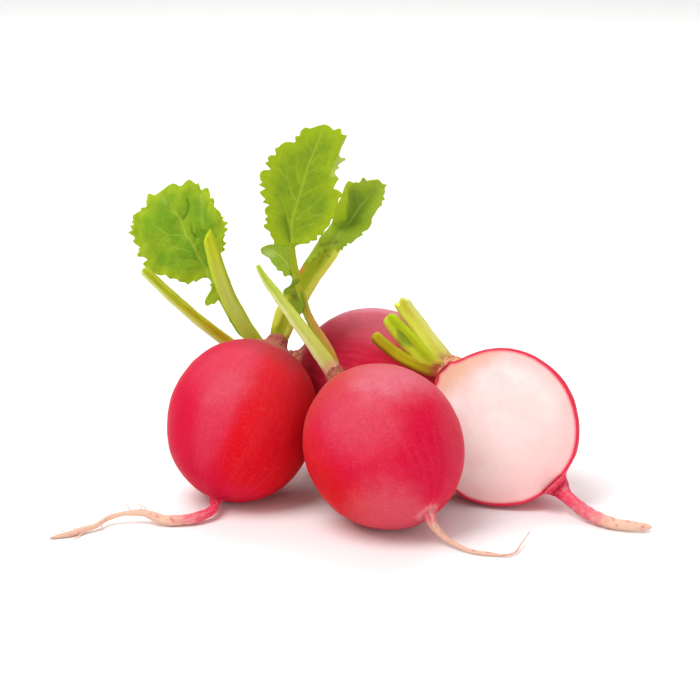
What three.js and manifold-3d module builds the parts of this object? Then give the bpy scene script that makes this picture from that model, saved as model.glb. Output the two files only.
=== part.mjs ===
// A bunch of radishes: three whole roots and a halved one, with cut stalks and young leaves.
// Millimetres, +Z up. Every radish rests on the surface z = 0.
// The layout is measured from the spot where the front radish rests, and ORIGIN_SHIFT then
// brings the middle of the whole bunch over the origin.

import * as THREE from 'three';
import { mergeVertices } from 'three/addons/utils/BufferGeometryUtils.js';
import Module from 'manifold-3d';

const wasm = await Module();
wasm.setup();

const ORIGIN_SHIFT = [5.6, -15.65, 0];
const GAP = 0.35;              // between a stalk and what it grew from
const REST_DEPTH = 0.3;        // how far the surface flattens a bulb's underside
const BULB_SIDES = 32;
const STALK_SIDES = 12;
const BLADE_THICKNESS = 0.5;
const TOOTH_ROOT = 0.9;        // width of a blade between two teeth, as a share of the width at a tooth

const v3 = (p) => new THREE.Vector3(p[0], p[1], p[2]);
const lerp = THREE.MathUtils.lerp;

const FINISHES = {
  skin: { color: 0xe01f3d, roughness: 0.42, metalness: 0 },
  halfSkin: { color: 0xf3cfc9, roughness: 0.5, metalness: 0 },
  stalk: { color: 0xb9bd3a, roughness: 0.5, metalness: 0 },
  paleStalk: { color: 0xcdd07a, roughness: 0.5, metalness: 0 },
  leaf: { color: 0x93b52c, roughness: 0.6, metalness: 0 },
};

// ---------------------------------------------------------------- the radishes
// centre: middle of the bulb. crown and root: directions in which the neck and the taproot leave it.
// trail: where the taproot goes once it has left the bulb.

const RADISHES = {
  radish_left: {
    centre: [-26.75, 14.7, 14.5],
    radius: 14.8,
    crown: [0.46, 0.35, 0.81],
    neck: { length: 2.9, radius: 2.2 },
    root: [-0.24, -0.53, -0.81],
    taproot: { radius: 1.0, tip: 0.28 },
    trail: [[-31.2, 4.4, 2.3], [-32.6, 1.2, 1.6], [-34.6, -1.4, 1.3], [-37.3, -2.4, 1.2], [-40.1, -1.8, 1.6],
      [-43.0, -1.0, 2.2], [-46.4, -0.1, 2.2], [-50.0, -0.9, 1.4], [-53.6, -4.6, 0.8], [-59.9, -8.4, 0.4]],
  },
  radish_front: {
    centre: [0, 0, 14.7],
    radius: 15,
    crown: [-0.506, 0.635, 0.584],
    neck: { length: 2.4, radius: 2.5 },
    root: [0.506, -0.635, -0.584],
    taproot: { radius: 0.85, tip: 0.22 },
    trail: [[8.9, -10.4, 3.4], [10.2, -11.4, 1.7], [12.7, -13.2, 1.0], [15.8, -15.0, 0.7], [19.1, -16.4, 0.6],
      [21.8, -16.5, 0.5], [23.4, -13.5, 0.5], [24.9, -10.0, 0.6], [26.4, -7.6, 1.0]],
  },
  radish_back: {
    centre: [-1.2, 32.5, 15.6],
    radius: 15.9,
    crown: [-0.971, 0.057, 0.23],
    neck: { length: 2.6, radius: 3.5 },
    root: [0.96, -0.05, -0.28],
    taproot: { radius: 1.0, tip: 0.3 },
    trail: [[17.6, 31.4, 9.4], [21.0, 31.4, 6.0], [24.6, 32.0, 3.0], [29.0, 33.2, 1.4], [33.6, 34.4, 0.9],
      [38.0, 34.6, 0.5]],
  },
  radish_half: {
    centre: [22.2, 11.55, 14.55],
    radius: 14.85,
    crown: [-0.643, 0.48, 0.606],
    neck: { length: 1.9, radius: 2.6 },
    root: [0.699, -0.258, -0.676],
    taproot: { radius: 1.55, tip: 0.9 },
    trail: [[34.4, 5.0, 3.3], [36.0, 2.2, 2.7], [38.6, -1.4, 2.0], [41.6, -3.3, 1.5], [45.1, -4.6, 1.2],
      [48.7, -5.1, 1.1]],
  },
};

// The knife passes in front of the half's middle, and leaves its crown and taproot whole.
const CUT = { facing: [-0.2313, -0.9279, 0.2924], inFront: 1.0, toRoot: 14.1, toCrown: 15.6 };

const crownDirection = (radish) => v3(radish.crown).normalize();

function crownTop(radish) {
  const reach = radish.radius + radish.neck.length;
  return v3(radish.centre).addScaledVector(crownDirection(radish), reach);
}

// ---------------------------------------------------------------- shapes built from rings
// A ring is one place on a middle line: its point, the direction of the line there, and a radius.

// A rounded maximum, which leaves a fillet where two outlines meet.
function smoothMax(a, b, fillet) {
  const near = Math.max(fillet - Math.abs(a - b), 0) / fillet;
  return Math.max(a, b) + near * near * fillet / 4;
}

function ringsOnCurve(curve, count, radiusAt, spacing = 1) {
  return Array.from({ length: count + 1 }, (_, i) => {
    const u = (i / count) ** spacing;
    return { point: curve.getPointAt(u), along: curve.getTangentAt(u), radius: radiusAt(u) };
  });
}

// Gives each ring its side and across directions, carried on from the first so that nothing twists.
function faceRings(rings, facing) {
  let side = v3(facing);
  for (const ring of rings) {
    side = side.clone().addScaledVector(ring.along, -side.dot(ring.along)).normalize();
    ring.side = side;
    ring.across = side.clone().cross(ring.along);
  }
}

function withOnlyPositions(geometry) {
  geometry.deleteAttribute('normal');
  geometry.deleteAttribute('uv');
  return geometry;
}

// A turned solid whose rings are moved onto a middle line. section(angle) shapes each ring.
function turnedSolid(rings, sides, facing, section) {
  faceRings(rings, facing);
  const closed = [rings[0], ...rings, rings[rings.length - 1]];
  const profile = rings.map((ring, i) => new THREE.Vector2(ring.radius, i + 1));
  profile.unshift(new THREE.Vector2(0, 0));
  profile.push(new THREE.Vector2(0, closed.length - 1));
  const geometry = withOnlyPositions(new THREE.LatheGeometry(profile, sides));
  const position = geometry.attributes.position;
  const corner = new THREE.Vector3();
  for (let i = 0; i < position.count; i += 1) {
    const ring = closed[i % closed.length];
    const x = position.getX(i);
    const z = position.getZ(i);
    const shape = section(Math.atan2(z, x));
    corner.copy(ring.point).addScaledVector(ring.side, x * shape).addScaledVector(ring.across, z * shape);
    position.setXYZ(i, corner.x, corner.y, corner.z);
  }
  return geometry;
}

const ROUND = () => 1;

// ---------------------------------------------------------------- cutting

function solidOf(geometry) {
  const merged = mergeVertices(geometry, 1e-4);
  const mesh = new wasm.Mesh({
    numProp: 3,
    vertProperties: new Float32Array(merged.attributes.position.array),
    triVerts: new Uint32Array(merged.index.array),
  });
  return new wasm.Manifold(mesh);
}

function geometryOf(solid) {
  const mesh = solid.getMesh();
  const geometry = new THREE.BufferGeometry();
  geometry.setAttribute('position', new THREE.BufferAttribute(new Float32Array(mesh.vertProperties), 3));
  geometry.setIndex(new THREE.BufferAttribute(new Uint32Array(mesh.triVerts), 1));
  return geometry;
}

function boxAt(size, place) {
  return withOnlyPositions(new THREE.BoxGeometry(size[0], size[1], size[2])).applyMatrix4(place);
}

// What lies under the surface, below a bulb. It leaves the flat that the radish rests on.
function underSurface(radish) {
  const depth = 4 * REST_DEPTH;
  const width = radish.radius;
  const place = new THREE.Matrix4().makeTranslation(radish.centre[0], radish.centre[1], -depth / 2);
  return solidOf(boxAt([width, width, depth], place));
}

// What the knife takes away in front of the half, between its crown and its taproot.
function cutAway(radish) {
  const facing = v3(CUT.facing).normalize();
  const toRoot = v3(radish.root).normalize();
  const across = facing.clone().cross(toRoot).normalize();
  const along = across.clone().cross(facing);
  const wide = 2 * radish.radius + 2;
  const high = radish.radius + 2;
  const long = CUT.toRoot + CUT.toCrown;
  const middle = v3(radish.centre)
    .addScaledVector(along, (CUT.toRoot - CUT.toCrown) / 2)
    .addScaledVector(facing, CUT.inFront + high / 2);
  const place = new THREE.Matrix4().makeBasis(along, across, facing).setPosition(middle);
  return solidOf(boxAt([long, wide, high], place));
}

// ---------------------------------------------------------------- one radish

const NECK_FILLET = 2.4;
const ROOT_FILLET = 2.8;
const NECK_RINGS = 2;
const BULB_RINGS = 16;
const ROOT_RINGS = 13;
const BULB_START = 0.05;       // shares of the half turn from crown to root that the bulb's rings span
const BULB_END = 0.95;
const ROOT_STRAIGHT = 0.8;     // the taproot leaves the bulb straight for this far
const ROOT_SPACING = 1.25;     // above 1, the taproot's rings are closer together at its foot
const ROOT_TAPER = 0.7;
const ROOT_FLARE = 0.5;        // extra thickness at the foot, as a share of the taproot's radius
const ROOT_FLARE_FADE = 14;

function radishRings(radish) {
  const { radius, neck, taproot } = radish;
  const centre = v3(radish.centre);
  const crown = crownDirection(radish);
  const toRoot = v3(radish.root).normalize();
  const rings = [];

  for (let i = 0; i < NECK_RINGS; i += 1) {
    const reach = radius + neck.length * (1 - i / NECK_RINGS);
    const point = centre.clone().addScaledVector(crown, reach);
    rings.push({ point, along: crown.clone().negate(), radius: neck.radius });
  }

  // The crown and the taproot aren't quite opposite, so the bulb's rings turn from one to the other.
  for (let i = 0; i <= BULB_RINGS; i += 1) {
    const turn = lerp(BULB_START, BULB_END, i / BULB_RINGS);
    const angle = turn * Math.PI;
    const along = crown.clone().negate().lerp(toRoot, turn).normalize();
    const point = centre.clone().addScaledVector(along, -radius * Math.cos(angle));
    const bulb = radius * Math.sin(angle);
    const joined = turn < 0.5
      ? smoothMax(bulb, neck.radius, NECK_FILLET)
      : smoothMax(bulb, taproot.radius, ROOT_FILLET);
    rings.push({ point, along, radius: joined });
  }

  const rootBase = centre.clone().addScaledVector(toRoot, radius);
  const straight = rootBase.clone().addScaledVector(toRoot, ROOT_STRAIGHT);
  const line = new THREE.CatmullRomCurve3([rootBase, straight, ...radish.trail.map(v3)]);
  const flare = (u) => ROOT_FLARE * taproot.radius * Math.exp(-u * ROOT_FLARE_FADE);
  const thickness = (u) => lerp(taproot.radius, taproot.tip, u ** ROOT_TAPER) + flare(u);
  rings.push(...ringsOnCurve(line, ROOT_RINGS, thickness, ROOT_SPACING));
  return rings;
}

function radishGeometry(radish, isHalf) {
  const whole = turnedSolid(radishRings(radish), BULB_SIDES, [0.1, -1, 0.2], ROUND);
  const resting = solidOf(whole).subtract(underSurface(radish));
  return geometryOf(isHalf ? resting.subtract(cutAway(radish)) : resting);
}

// ---------------------------------------------------------------- stalks
const STALK_STRAIGHT = 1.3;    // a stalk follows the crown's direction for this far
const STALK_RING_STEP = 2.6;
const CHANNEL_WIDTH = 0.55;    // in radians round the stalk

// foot: place on the crown, across and up it. path: middle line after that. channel: depth of the
// groove on the side that faces the leaf, as a share of the radius.

const STALKS = {
  left_leaf_stalk: {
    on: 'radish_left', foot: [0, 0], radii: [1.9, 2.3, 1.8], flat: 0.75, channel: 0.35, finish: 'stalk',
    path: [[-18.4, 22.0, 33.5], [-16.5, 22.6, 37.3], [-13.7, 23.2, 41.0], [-11.4, 23.8, 44.2],
      [-9.2, 24.3, 47.2]],
  },
  front_cut_stalk: {
    on: 'radish_front', foot: [-1.25, -0.1], radii: [1.15, 1.4, 0.7], flat: 0.8, channel: 0.3, finish: 'paleStalk',
    path: [[-11.8, 11.2, 29.3], [-15.4, 9.6, 34.8], [-19.0, 8.2, 40.8], [-22.9, 6.6, 47.3]],
  },
  front_leaf_stalk: {
    on: 'radish_front', foot: [1.3, 0.2], radii: [0.95, 0.9, 0.65], flat: 0.85, channel: 0.25, finish: 'stalk',
    path: [[-11.2, 13.6, 30.6], [-13.2, 14.4, 35.0], [-14.6, 14.6, 38.4], [-16.0, 14.8, 43.0],
      [-16.9, 15.0, 48.4]],
  },
  back_long_cut_stalk: {
    on: 'radish_back', foot: [-1.7, -1.5], radii: [1.35, 1.3, 1.2], flat: 0.85, channel: 0.25, finish: 'stalk',
    path: [[-24.8, 31.6, 21.2], [-29.5, 31.4, 25.2], [-34.5, 31.0, 29.8], [-39.8, 30.4, 34.4],
      [-45.7, 29.5, 40.4]],
  },
  back_pointed_cut_stalk: {
    on: 'radish_back', foot: [-1.2, 1.9], radii: [1.6, 1.6, 0.35], flat: 0.8, channel: 0.3, finish: 'stalk',
    path: [[-23.4, 33.6, 24.8], [-26.2, 34.0, 27.8], [-28.7, 34.0, 31.4], [-30.5, 33.6, 35.6],
      [-32.0, 33.0, 41.0], [-33.2, 32.0, 48.8]],
  },
  back_leaf_stalk: {
    on: 'radish_back', foot: [1.9, 0.1], radii: [1.05, 0.9, 0.6], flat: 0.85, channel: 0.2, finish: 'stalk',
    path: [[-23.6, 37.4, 23.4], [-27.2, 38.2, 26.2], [-29.6, 38.3, 29.6], [-31.4, 38.0, 34.4]],
  },
  half_upper_stub: {
    on: 'radish_half', foot: [1.25, -0.8], radii: [1.15, 1.55, 1.5], flat: 0.8, channel: 0.2, finish: 'stalk',
    path: [[9.9, 20.6, 27.3], [7.2, 20.4, 31.1], [3.3, 19.6, 37.1]],
  },
  half_middle_stub: {
    on: 'radish_half', foot: [0.1, 1.4], radii: [0.95, 1.45, 1.3], flat: 0.85, channel: 0.3, finish: 'stalk',
    path: [[7.9, 17.2, 27.4], [4.4, 16.8, 30.6], [0.8, 16.4, 34.3]],
  },
  half_lower_stub: {
    on: 'radish_half', foot: [-1.4, -0.5], radii: [0.95, 1.1, 1.05], flat: 0.9, channel: 0.2, finish: 'stalk',
    path: [[7.5, 17.2, 24.8], [3.9, 16.0, 27.2], [-1.6, 15.4, 31.4]],
  },
};

function footOf(stalk) {
  const radish = RADISHES[stalk.on];
  const crown = crownDirection(radish);
  const across = new THREE.Vector3(1, 0, 0);
  if (Math.abs(crown.x) > 0.9) across.set(0, 1, 0);
  across.addScaledVector(crown, -across.dot(crown)).normalize();
  const up = crown.clone().cross(across);
  if (up.z < 0) up.negate();
  return crownTop(radish)
    .addScaledVector(crown, GAP)
    .addScaledVector(across, stalk.foot[0])
    .addScaledVector(up, stalk.foot[1]);
}

function stalkGeometry(stalk) {
  const foot = footOf(stalk);
  const straight = foot.clone().addScaledVector(crownDirection(RADISHES[stalk.on]), STALK_STRAIGHT);
  const line = new THREE.CatmullRomCurve3([foot, straight, ...stalk.path.map(v3)]);
  const [base, middle, end] = stalk.radii;
  const thickness = (u) => (u < 0.5 ? lerp(base, middle, u * 2) : lerp(middle, end, u * 2 - 1));
  const section = (angle) => {
    const flattened = Math.hypot(Math.cos(angle) * stalk.flat, Math.sin(angle));
    const channel = stalk.channel * Math.exp(-((angle / CHANNEL_WIDTH) ** 2));
    return flattened * (1 - channel);
  };
  const count = Math.max(5, Math.round(line.getLength() / STALK_RING_STEP));
  const rings = ringsOnCurve(line, count, thickness);
  return turnedSolid(rings, STALK_SIDES, [0, -1, 0.3], section);
}

// ---------------------------------------------------------------- leaf blades
const BLADE_FOOT = 0.1;        // width of a blade at its foot and tip, as a share of its greatest
const BLADE_FULLNESS = 0.6;    // below 1, the outline is rounder than a half wave

// midrib: middle line from the foot of the blade to its tip. widths: the blade's greatest width on
// the left and on the right of it. widest: how far along that is. cup: how far the margins come forward.

const BLADES = {
  dark_leaf: {
    midrib: [[-8.9, 24.4, 47.9], [-6.8, 24.8, 50.4], [-4.6, 25.3, 53.2], [-2.3, 25.8, 55.8], [0.2, 26.4, 58.2]],
    widths: [4.9, 3.4], widest: 0.5, cup: 0.5, teeth: 9, facing: [0.2, -1, 0.1],
  },
  tall_leaf: {
    midrib: [[-17.0, 15.1, 49.0], [-15.9, 15.4, 52.8], [-14.6, 15.8, 57.5], [-12.3, 16.6, 64.2],
      [-10.5, 17.4, 71.4]],
    widths: [9.2, 6.2], widest: 0.55, cup: 0.12, teeth: 13, facing: [0.1, -1, 0.2],
  },
  tall_leaf_side_lobe: {
    midrib: [[-17.8, 14.6, 45.2], [-19.6, 14.2, 46.7], [-22.2, 13.8, 48.5]],
    widths: [2.2, 2.2], widest: 0.5, cup: 0.1, teeth: 4, facing: [0, -1, 0.1],
  },
  tall_leaf_low_lobe: {
    midrib: [[-16.0, 14.0, 38.0], [-17.1, 13.7, 39.3], [-18.2, 13.4, 41.1]],
    widths: [1.1, 1.1], widest: 0.5, cup: 0.1, teeth: 3, facing: [0, -1, 0.1],
  },
  round_leaf: {
    midrib: [[-32.2, 38.0, 35.5], [-34.4, 37.8, 39.4], [-36.6, 37.6, 43.2], [-38.9, 37.6, 47.2],
      [-41.4, 37.8, 51.0], [-44.2, 38.4, 55.2]],
    widths: [10.6, 7.8], widest: 0.52, cup: 0.1, teeth: 13, facing: [0, -1, 0.2],
  },
  round_leaf_side_lobe: {
    midrib: [[-32.5, 37.4, 33.4], [-33.4, 37.0, 32.8], [-34.5, 36.7, 31.9]],
    widths: [1.3, 1.3], widest: 0.5, cup: 0.1, teeth: 3, facing: [0, -1, 0.1],
  },
  round_leaf_low_lobe: {
    midrib: [[-31.2, 37.7, 29.7], [-31.6, 37.4, 30.5], [-32.1, 37.1, 31.5]],
    widths: [0.9, 0.9], widest: 0.5, cup: 0.1, teeth: 2, facing: [0, -1, 0.1],
  },
};

function bladeGeometry(blade) {
  const line = new THREE.CatmullRomCurve3(blade.midrib.map(v3));
  const rows = Math.max(6, blade.teeth * 2);
  const columns = blade.teeth > 4 ? 6 : 4;
  const bulge = Math.log(0.5) / Math.log(blade.widest);
  const wave = (u) => Math.max(Math.sin(Math.PI * u ** bulge), 0) ** BLADE_FULLNESS;
  const outline = (u) => BLADE_FOOT + (1 - BLADE_FOOT) * wave(u);
  const rings = ringsOnCurve(line, rows, outline);
  faceRings(rings, blade.facing);
  const geometry = withOnlyPositions(new THREE.BoxGeometry(2, 1, BLADE_THICKNESS, columns, rows, 1));
  const position = geometry.attributes.position;
  const corner = new THREE.Vector3();
  for (let i = 0; i < position.count; i += 1) {
    const row = Math.round((position.getY(i) + 0.5) * rows);
    const { point, side, across, radius } = rings[row];
    const fromMidrib = position.getX(i);
    const width = fromMidrib < 0 ? blade.widths[0] : blade.widths[1];
    const half = width * radius * (row % 2 === 1 ? 1 : TOOTH_ROOT);
    corner.copy(point)
      .addScaledVector(across, -fromMidrib * half)
      .addScaledVector(side, blade.cup * half * fromMidrib ** 2 + position.getZ(i));
    position.setXYZ(i, corner.x, corner.y, corner.z);
  }
  return geometry;
}

// ---------------------------------------------------------------- the bunch

const bunch = new THREE.Group();
bunch.position.set(ORIGIN_SHIFT[0], ORIGIN_SHIFT[1], ORIGIN_SHIFT[2]);

function add(name, geometry, finish) {
  const mesh = new THREE.Mesh(geometry, new THREE.MeshStandardMaterial(FINISHES[finish]));
  mesh.name = name;
  bunch.add(mesh);
}

for (const [name, radish] of Object.entries(RADISHES)) {
  const isHalf = name === 'radish_half';
  add(name, radishGeometry(radish, isHalf), isHalf ? 'halfSkin' : 'skin');
}
for (const [name, stalk] of Object.entries(STALKS)) {
  add(name, stalkGeometry(stalk), stalk.finish);
}
for (const [name, blade] of Object.entries(BLADES)) {
  add(name, bladeGeometry(blade), 'leaf');
}

const group = new THREE.Group();
group.add(bunch);

export default group;
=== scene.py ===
import math

import bmesh
import bpy
import numpy as np
from mathutils import Matrix, Vector, noise
from mathutils.geometry import delaunay_2d_cdt


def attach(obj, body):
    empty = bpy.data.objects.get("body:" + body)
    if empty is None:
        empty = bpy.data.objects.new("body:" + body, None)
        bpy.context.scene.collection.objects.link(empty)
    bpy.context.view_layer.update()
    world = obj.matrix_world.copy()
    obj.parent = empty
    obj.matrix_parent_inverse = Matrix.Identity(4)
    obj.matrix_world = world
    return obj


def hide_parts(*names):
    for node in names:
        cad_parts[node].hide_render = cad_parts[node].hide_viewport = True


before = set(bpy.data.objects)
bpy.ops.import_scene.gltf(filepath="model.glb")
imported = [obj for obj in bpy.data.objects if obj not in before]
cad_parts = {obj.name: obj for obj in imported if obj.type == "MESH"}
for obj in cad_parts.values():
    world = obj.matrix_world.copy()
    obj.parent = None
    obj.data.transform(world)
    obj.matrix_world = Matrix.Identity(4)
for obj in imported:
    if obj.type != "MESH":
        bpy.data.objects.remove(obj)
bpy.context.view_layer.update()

# ---------------------------------------------------------------- sizes
# Everything is laid out in millimetres from the spot where the front radish rests.

MM = 0.001
LAYOUT_SHIFT = Vector((5.6, -15.65, 0.0))
AIM = Vector((-0.5, -15.65, 33.4)) * MM
CAMERA_TILT = math.radians(17)
CAMERA_DISTANCE = 386 * MM
TOWARDS_CAMERA = Vector((0, -math.cos(CAMERA_TILT), math.sin(CAMERA_TILT)))


def at(point):
    """A point of the layout, in millimetres, as a place in the frame."""
    return (Vector(point) + LAYOUT_SHIFT) * MM


# ---------------------------------------------------------------- camera and light

camera_data = bpy.data.cameras.new("camera")
camera_data.lens = 110
camera_data.sensor_width = 36
camera_data.clip_start = 0.01
camera = bpy.data.objects.new("camera", camera_data)
camera.location = AIM + TOWARDS_CAMERA * CAMERA_DISTANCE
camera.rotation_euler = (math.radians(90) - CAMERA_TILT, 0, 0)
bpy.context.scene.collection.objects.link(camera)
bpy.context.scene.camera = camera
bpy.context.scene.view_settings.view_transform = "Standard"

world = bpy.data.worlds.new("studio")
world.use_nodes = True
world.node_tree.nodes["Background"].inputs["Color"].default_value = (1.0, 0.99, 0.98, 1)
world.node_tree.nodes["Background"].inputs["Strength"].default_value = 0.34
bpy.context.scene.world = world


LIGHT_AIM = Vector((0, 0, 0.03))


def softbox(name, place, size, power):
    """A soft rectangular light that faces the bunch."""
    data = bpy.data.lights.new(name, "AREA")
    data.shape = "RECTANGLE"
    data.size, data.size_y = size
    data.energy = power
    light = bpy.data.objects.new(name, data)
    light.location = place
    light.rotation_euler = (LIGHT_AIM - light.location).to_track_quat("-Z", "Y").to_euler()
    bpy.context.scene.collection.objects.link(light)


softbox("key_light", place=Vector((-0.34, -0.22, 0.72)), size=(0.42, 0.60), power=4.7)
softbox("fill_light", place=Vector((0.42, -0.55, 0.14)), size=(0.50, 0.40), power=1.7)
softbox("back_light", place=Vector((0.0, 0.50, 0.60)), size=(1.0, 0.4), power=3.9)

sun_data = bpy.data.lights.new("even_light", "SUN")
sun_data.energy = 0.46
sun_data.angle = math.radians(80)
sun = bpy.data.objects.new("even_light", sun_data)
sun.rotation_euler = (math.radians(30), math.radians(-20), 0)
bpy.context.scene.collection.objects.link(sun)


# ---------------------------------------------------------------- shader sums

class Value:
    """A socket of a finish's nodes that takes part in Python sums."""

    def __init__(self, finish, socket):
        self.finish = finish
        self.socket = socket

    def maths(self, operation, *terms):
        return self.finish.node("Math", {"operation": operation}, dict(enumerate(terms)))

    def __add__(self, other):
        return self.maths("ADD", self, other)

    def __radd__(self, other):
        return self.maths("ADD", other, self)

    def __sub__(self, other):
        return self.maths("SUBTRACT", self, other)

    def __rsub__(self, other):
        return self.maths("SUBTRACT", other, self)

    def __mul__(self, other):
        return self.maths("MULTIPLY", self, other)

    def __rmul__(self, other):
        return self.maths("MULTIPLY", other, self)

    def __truediv__(self, other):
        return self.maths("DIVIDE", self, other)

    def rise(self, start, end):
        """0 before start, 1 after end, and a smooth way between them. With start above end it is 1
        below end and 0 above start."""
        if start > end:
            return 1 - self.rise(end, start)
        settings = {"interpolation_type": "SMOOTHSTEP", "clamp": True}
        return self.finish.node("MapRange", settings, {0: self, 1: start, 2: end, 3: 0.0, 4: 1.0})


class Finish:
    """A material in the making."""

    def __init__(self, name):
        self.material = bpy.data.materials.new(name)
        self.material.use_nodes = True
        self.tree = self.material.node_tree
        self.tree.nodes.clear()

    def node(self, kind, settings=None, inputs=None, output=0):
        """Any node: its type, its settings, what feeds its sockets, and the socket it is read from."""
        node = self.tree.nodes.new("ShaderNode" + kind)
        for key, value in (settings or {}).items():
            setattr(node, key, value)
        for key, value in (inputs or {}).items():
            if isinstance(value, Value):
                self.tree.links.new(value.socket, node.inputs[key])
            else:
                node.inputs[key].default_value = value
        return Value(self, node.outputs[output])

    def place(self):
        """Object coordinates, in millimetres."""
        metres = self.node("TexCoord", output="Object")
        return self.node("VectorMath", {"operation": "SCALE"}, {0: metres, "Scale": 1 / MM})

    def own(self, name, output="Vector"):
        """One of the piece's own attributes."""
        return self.node("Attribute", {"attribute_name": name}, output=output)

    def follow_growth(self):
        """The cosine, the sine and the millimetres along, which mark_growth wrote on the piece."""
        separate = self.node("SeparateXYZ", {}, {0: self.own("growth")})
        self.growth = [Value(self, socket) for socket in separate.socket.node.outputs]
        return self.growth

    def grown(self, round_by, along_by):
        """Coordinates that follow the growth, scaled so much round the middle line and along it."""
        cosine, sine, along = self.growth
        inputs = {0: cosine * round_by, 1: sine * round_by, 2: along * along_by}
        return self.node("CombineXYZ", {}, inputs)

    def oval(self, across, height, reach_across, reach_along):
        """0 in the middle of an oval patch on the growth, 1 at its edge, and more beyond it."""
        _, sine, along = self.growth
        aside, beyond = (sine - across) / reach_across, (along - height) / reach_along
        return aside * aside + beyond * beyond

    def stretched(self, vector, scale):
        return self.node("Mapping", {}, {"Vector": vector, "Scale": scale})

    def mottle(self, vector, scale, detail=2.0, roughness=0.5):
        """Soft noise, around one half."""
        inputs = {"Vector": vector, "Scale": scale, "Detail": detail, "Roughness": roughness}
        return self.node("TexNoise", {}, inputs)

    def cells(self, vector, scale, feature="F1"):
        """The distance from the middles of scattered cells, or from their borders."""
        inputs = {"Vector": vector, "Scale": scale}
        return self.node("TexVoronoi", {"feature": feature}, inputs, "Distance")

    def blend(self, share, first, second):
        """The first colour where share is 0, the second where it is 1."""
        inputs = {0: share}
        for key, colour in ((6, first), (7, second)):
            inputs[key] = colour if isinstance(colour, Value) else (*colour, 1)
        return self.node("Mix", {"data_type": "RGBA"}, inputs, output=2)

    def done(self, bump=None, bump_size=0.1, **surface):
        """The surface: each keyword is a socket of the Principled shader, with _ for a space."""
        shader = self.node("BsdfPrincipled").socket.node
        for key, value in surface.items():
            socket = shader.inputs[key.replace("_", " ")]
            if isinstance(value, Value):
                self.tree.links.new(value.socket, socket)
            elif isinstance(value, tuple) and len(value) == 3 and socket.type == "RGBA":
                socket.default_value = (*value, 1)
            else:
                socket.default_value = value
        if bump is not None:
            relief = self.node("Bump", {}, {"Height": bump, "Strength": 1.0, "Distance": bump_size * MM})
            self.tree.links.new(relief.socket, shader.inputs["Normal"])
        output = self.tree.nodes.new("ShaderNodeOutputMaterial")
        self.tree.links.new(shader.outputs[0], output.inputs[0])
        return self.material


def scaled(colour, factor):
    return tuple(factor * part for part in colour)


def between(first, second, factor=0.5, lift=0.0):
    """The middle of two colours, or a brighter one with a larger factor and a lift."""
    return tuple(factor * (a + b) + lift for a, b in zip(first, second))


# ---------------------------------------------------------------- modelling by hand

def nothing_selected():
    if bpy.context.object and bpy.context.object.mode != "OBJECT":
        bpy.ops.object.mode_set(mode="OBJECT")
    bpy.ops.object.select_all(action="DESELECT")


def start(name):
    """Names the primitive that was just added, settles its place in its mesh, and opens it."""
    piece = bpy.context.object
    piece.name = piece.data.name = name
    bpy.ops.object.transform_apply(location=True, rotation=True, scale=True)
    bpy.ops.object.mode_set(mode="EDIT")
    return piece


def choose(test):
    """Selects only the vertices of the open piece whose place passes the test, and what they span."""
    mesh = bpy.context.object.data
    edit = bmesh.from_edit_mesh(mesh)
    bpy.context.tool_settings.mesh_select_mode = (True, False, False)
    for vertex in edit.verts:
        vertex.select = bool(test(vertex.co))
    edit.select_mode = {"VERT"}
    edit.select_flush_mode()
    bmesh.update_edit_mesh(mesh)


def turn(rotation, centre, **options):
    """Turns what is selected by a quaternion about a point. The operator counts angles the other way
    round, so each one is negated."""
    for axis, angle in zip("XYZ", rotation.to_euler("XYZ")):
        if abs(angle) > 1e-7:
            bpy.ops.transform.rotate(value=-angle, orient_axis=axis, center_override=centre, **options)


def extrude_along(stations, here, heading, thickness):
    """Carries the selected cap along stations of (point, direction, thickness)."""
    for point, direction, wanted in stations:
        bpy.ops.mesh.extrude_region_move(TRANSFORM_OT_translate={"value": point - here})
        turn(heading.rotation_difference(direction), point)
        factor = wanted / thickness
        bpy.ops.transform.resize(value=(factor,) * 3, center_override=point)
        here, heading, thickness = point, direction, wanted


def apply_modifier(piece, kind, **settings):
    bpy.context.view_layer.objects.active = piece
    modifier = piece.modifiers.new(kind.lower(), kind)
    for key, value in settings.items():
        setattr(modifier, key, value)
    bpy.ops.object.modifier_apply(modifier=modifier.name)


def rounded(piece):
    apply_modifier(piece, "SUBSURF", levels=2, render_levels=2)


def clouds(name, size):
    """Lumps of about this many millimetres, to displace a piece by."""
    texture = bpy.data.textures.new(name, "CLOUDS")
    texture.noise_scale = size * MM
    texture.noise_depth = 2
    return texture


def press_out(piece, texture, strength):
    """Moves the surface in and out along its normals by the texture, in millimetres."""
    apply_modifier(piece, "DISPLACE", texture=texture, texture_coords="LOCAL", strength=strength * MM,
                   mid_level=0.5)


def join_into(piece, others):
    nothing_selected()
    for other in others:
        other.select_set(True)
    piece.select_set(True)
    bpy.context.view_layer.objects.active = piece
    bpy.ops.object.join()


def finished(piece, material, node):
    """Outward faces, smooth shading, the finish, and the CAD node that the piece stands for. A piece
    that already has its finishes comes with no material."""
    nothing_selected()
    bpy.context.view_layer.objects.active = piece
    piece.select_set(True)
    bpy.ops.object.mode_set(mode="EDIT")
    bpy.ops.mesh.select_all(action="SELECT")
    bpy.ops.mesh.normals_make_consistent(inside=False)
    bpy.ops.object.mode_set(mode="OBJECT")
    bpy.ops.object.shade_smooth()
    if material:
        piece.data.materials.clear()
        piece.data.materials.append(material)
    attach(piece, "root")
    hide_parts(node)


# ---------------------------------------------------------------- middle lines

def reached(a, b, t, start, end):
    """The place on the straight way from a, at start, to b, at end."""
    return a * ((end - t) / (end - start)) + b * ((t - start) / (end - start))


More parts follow.
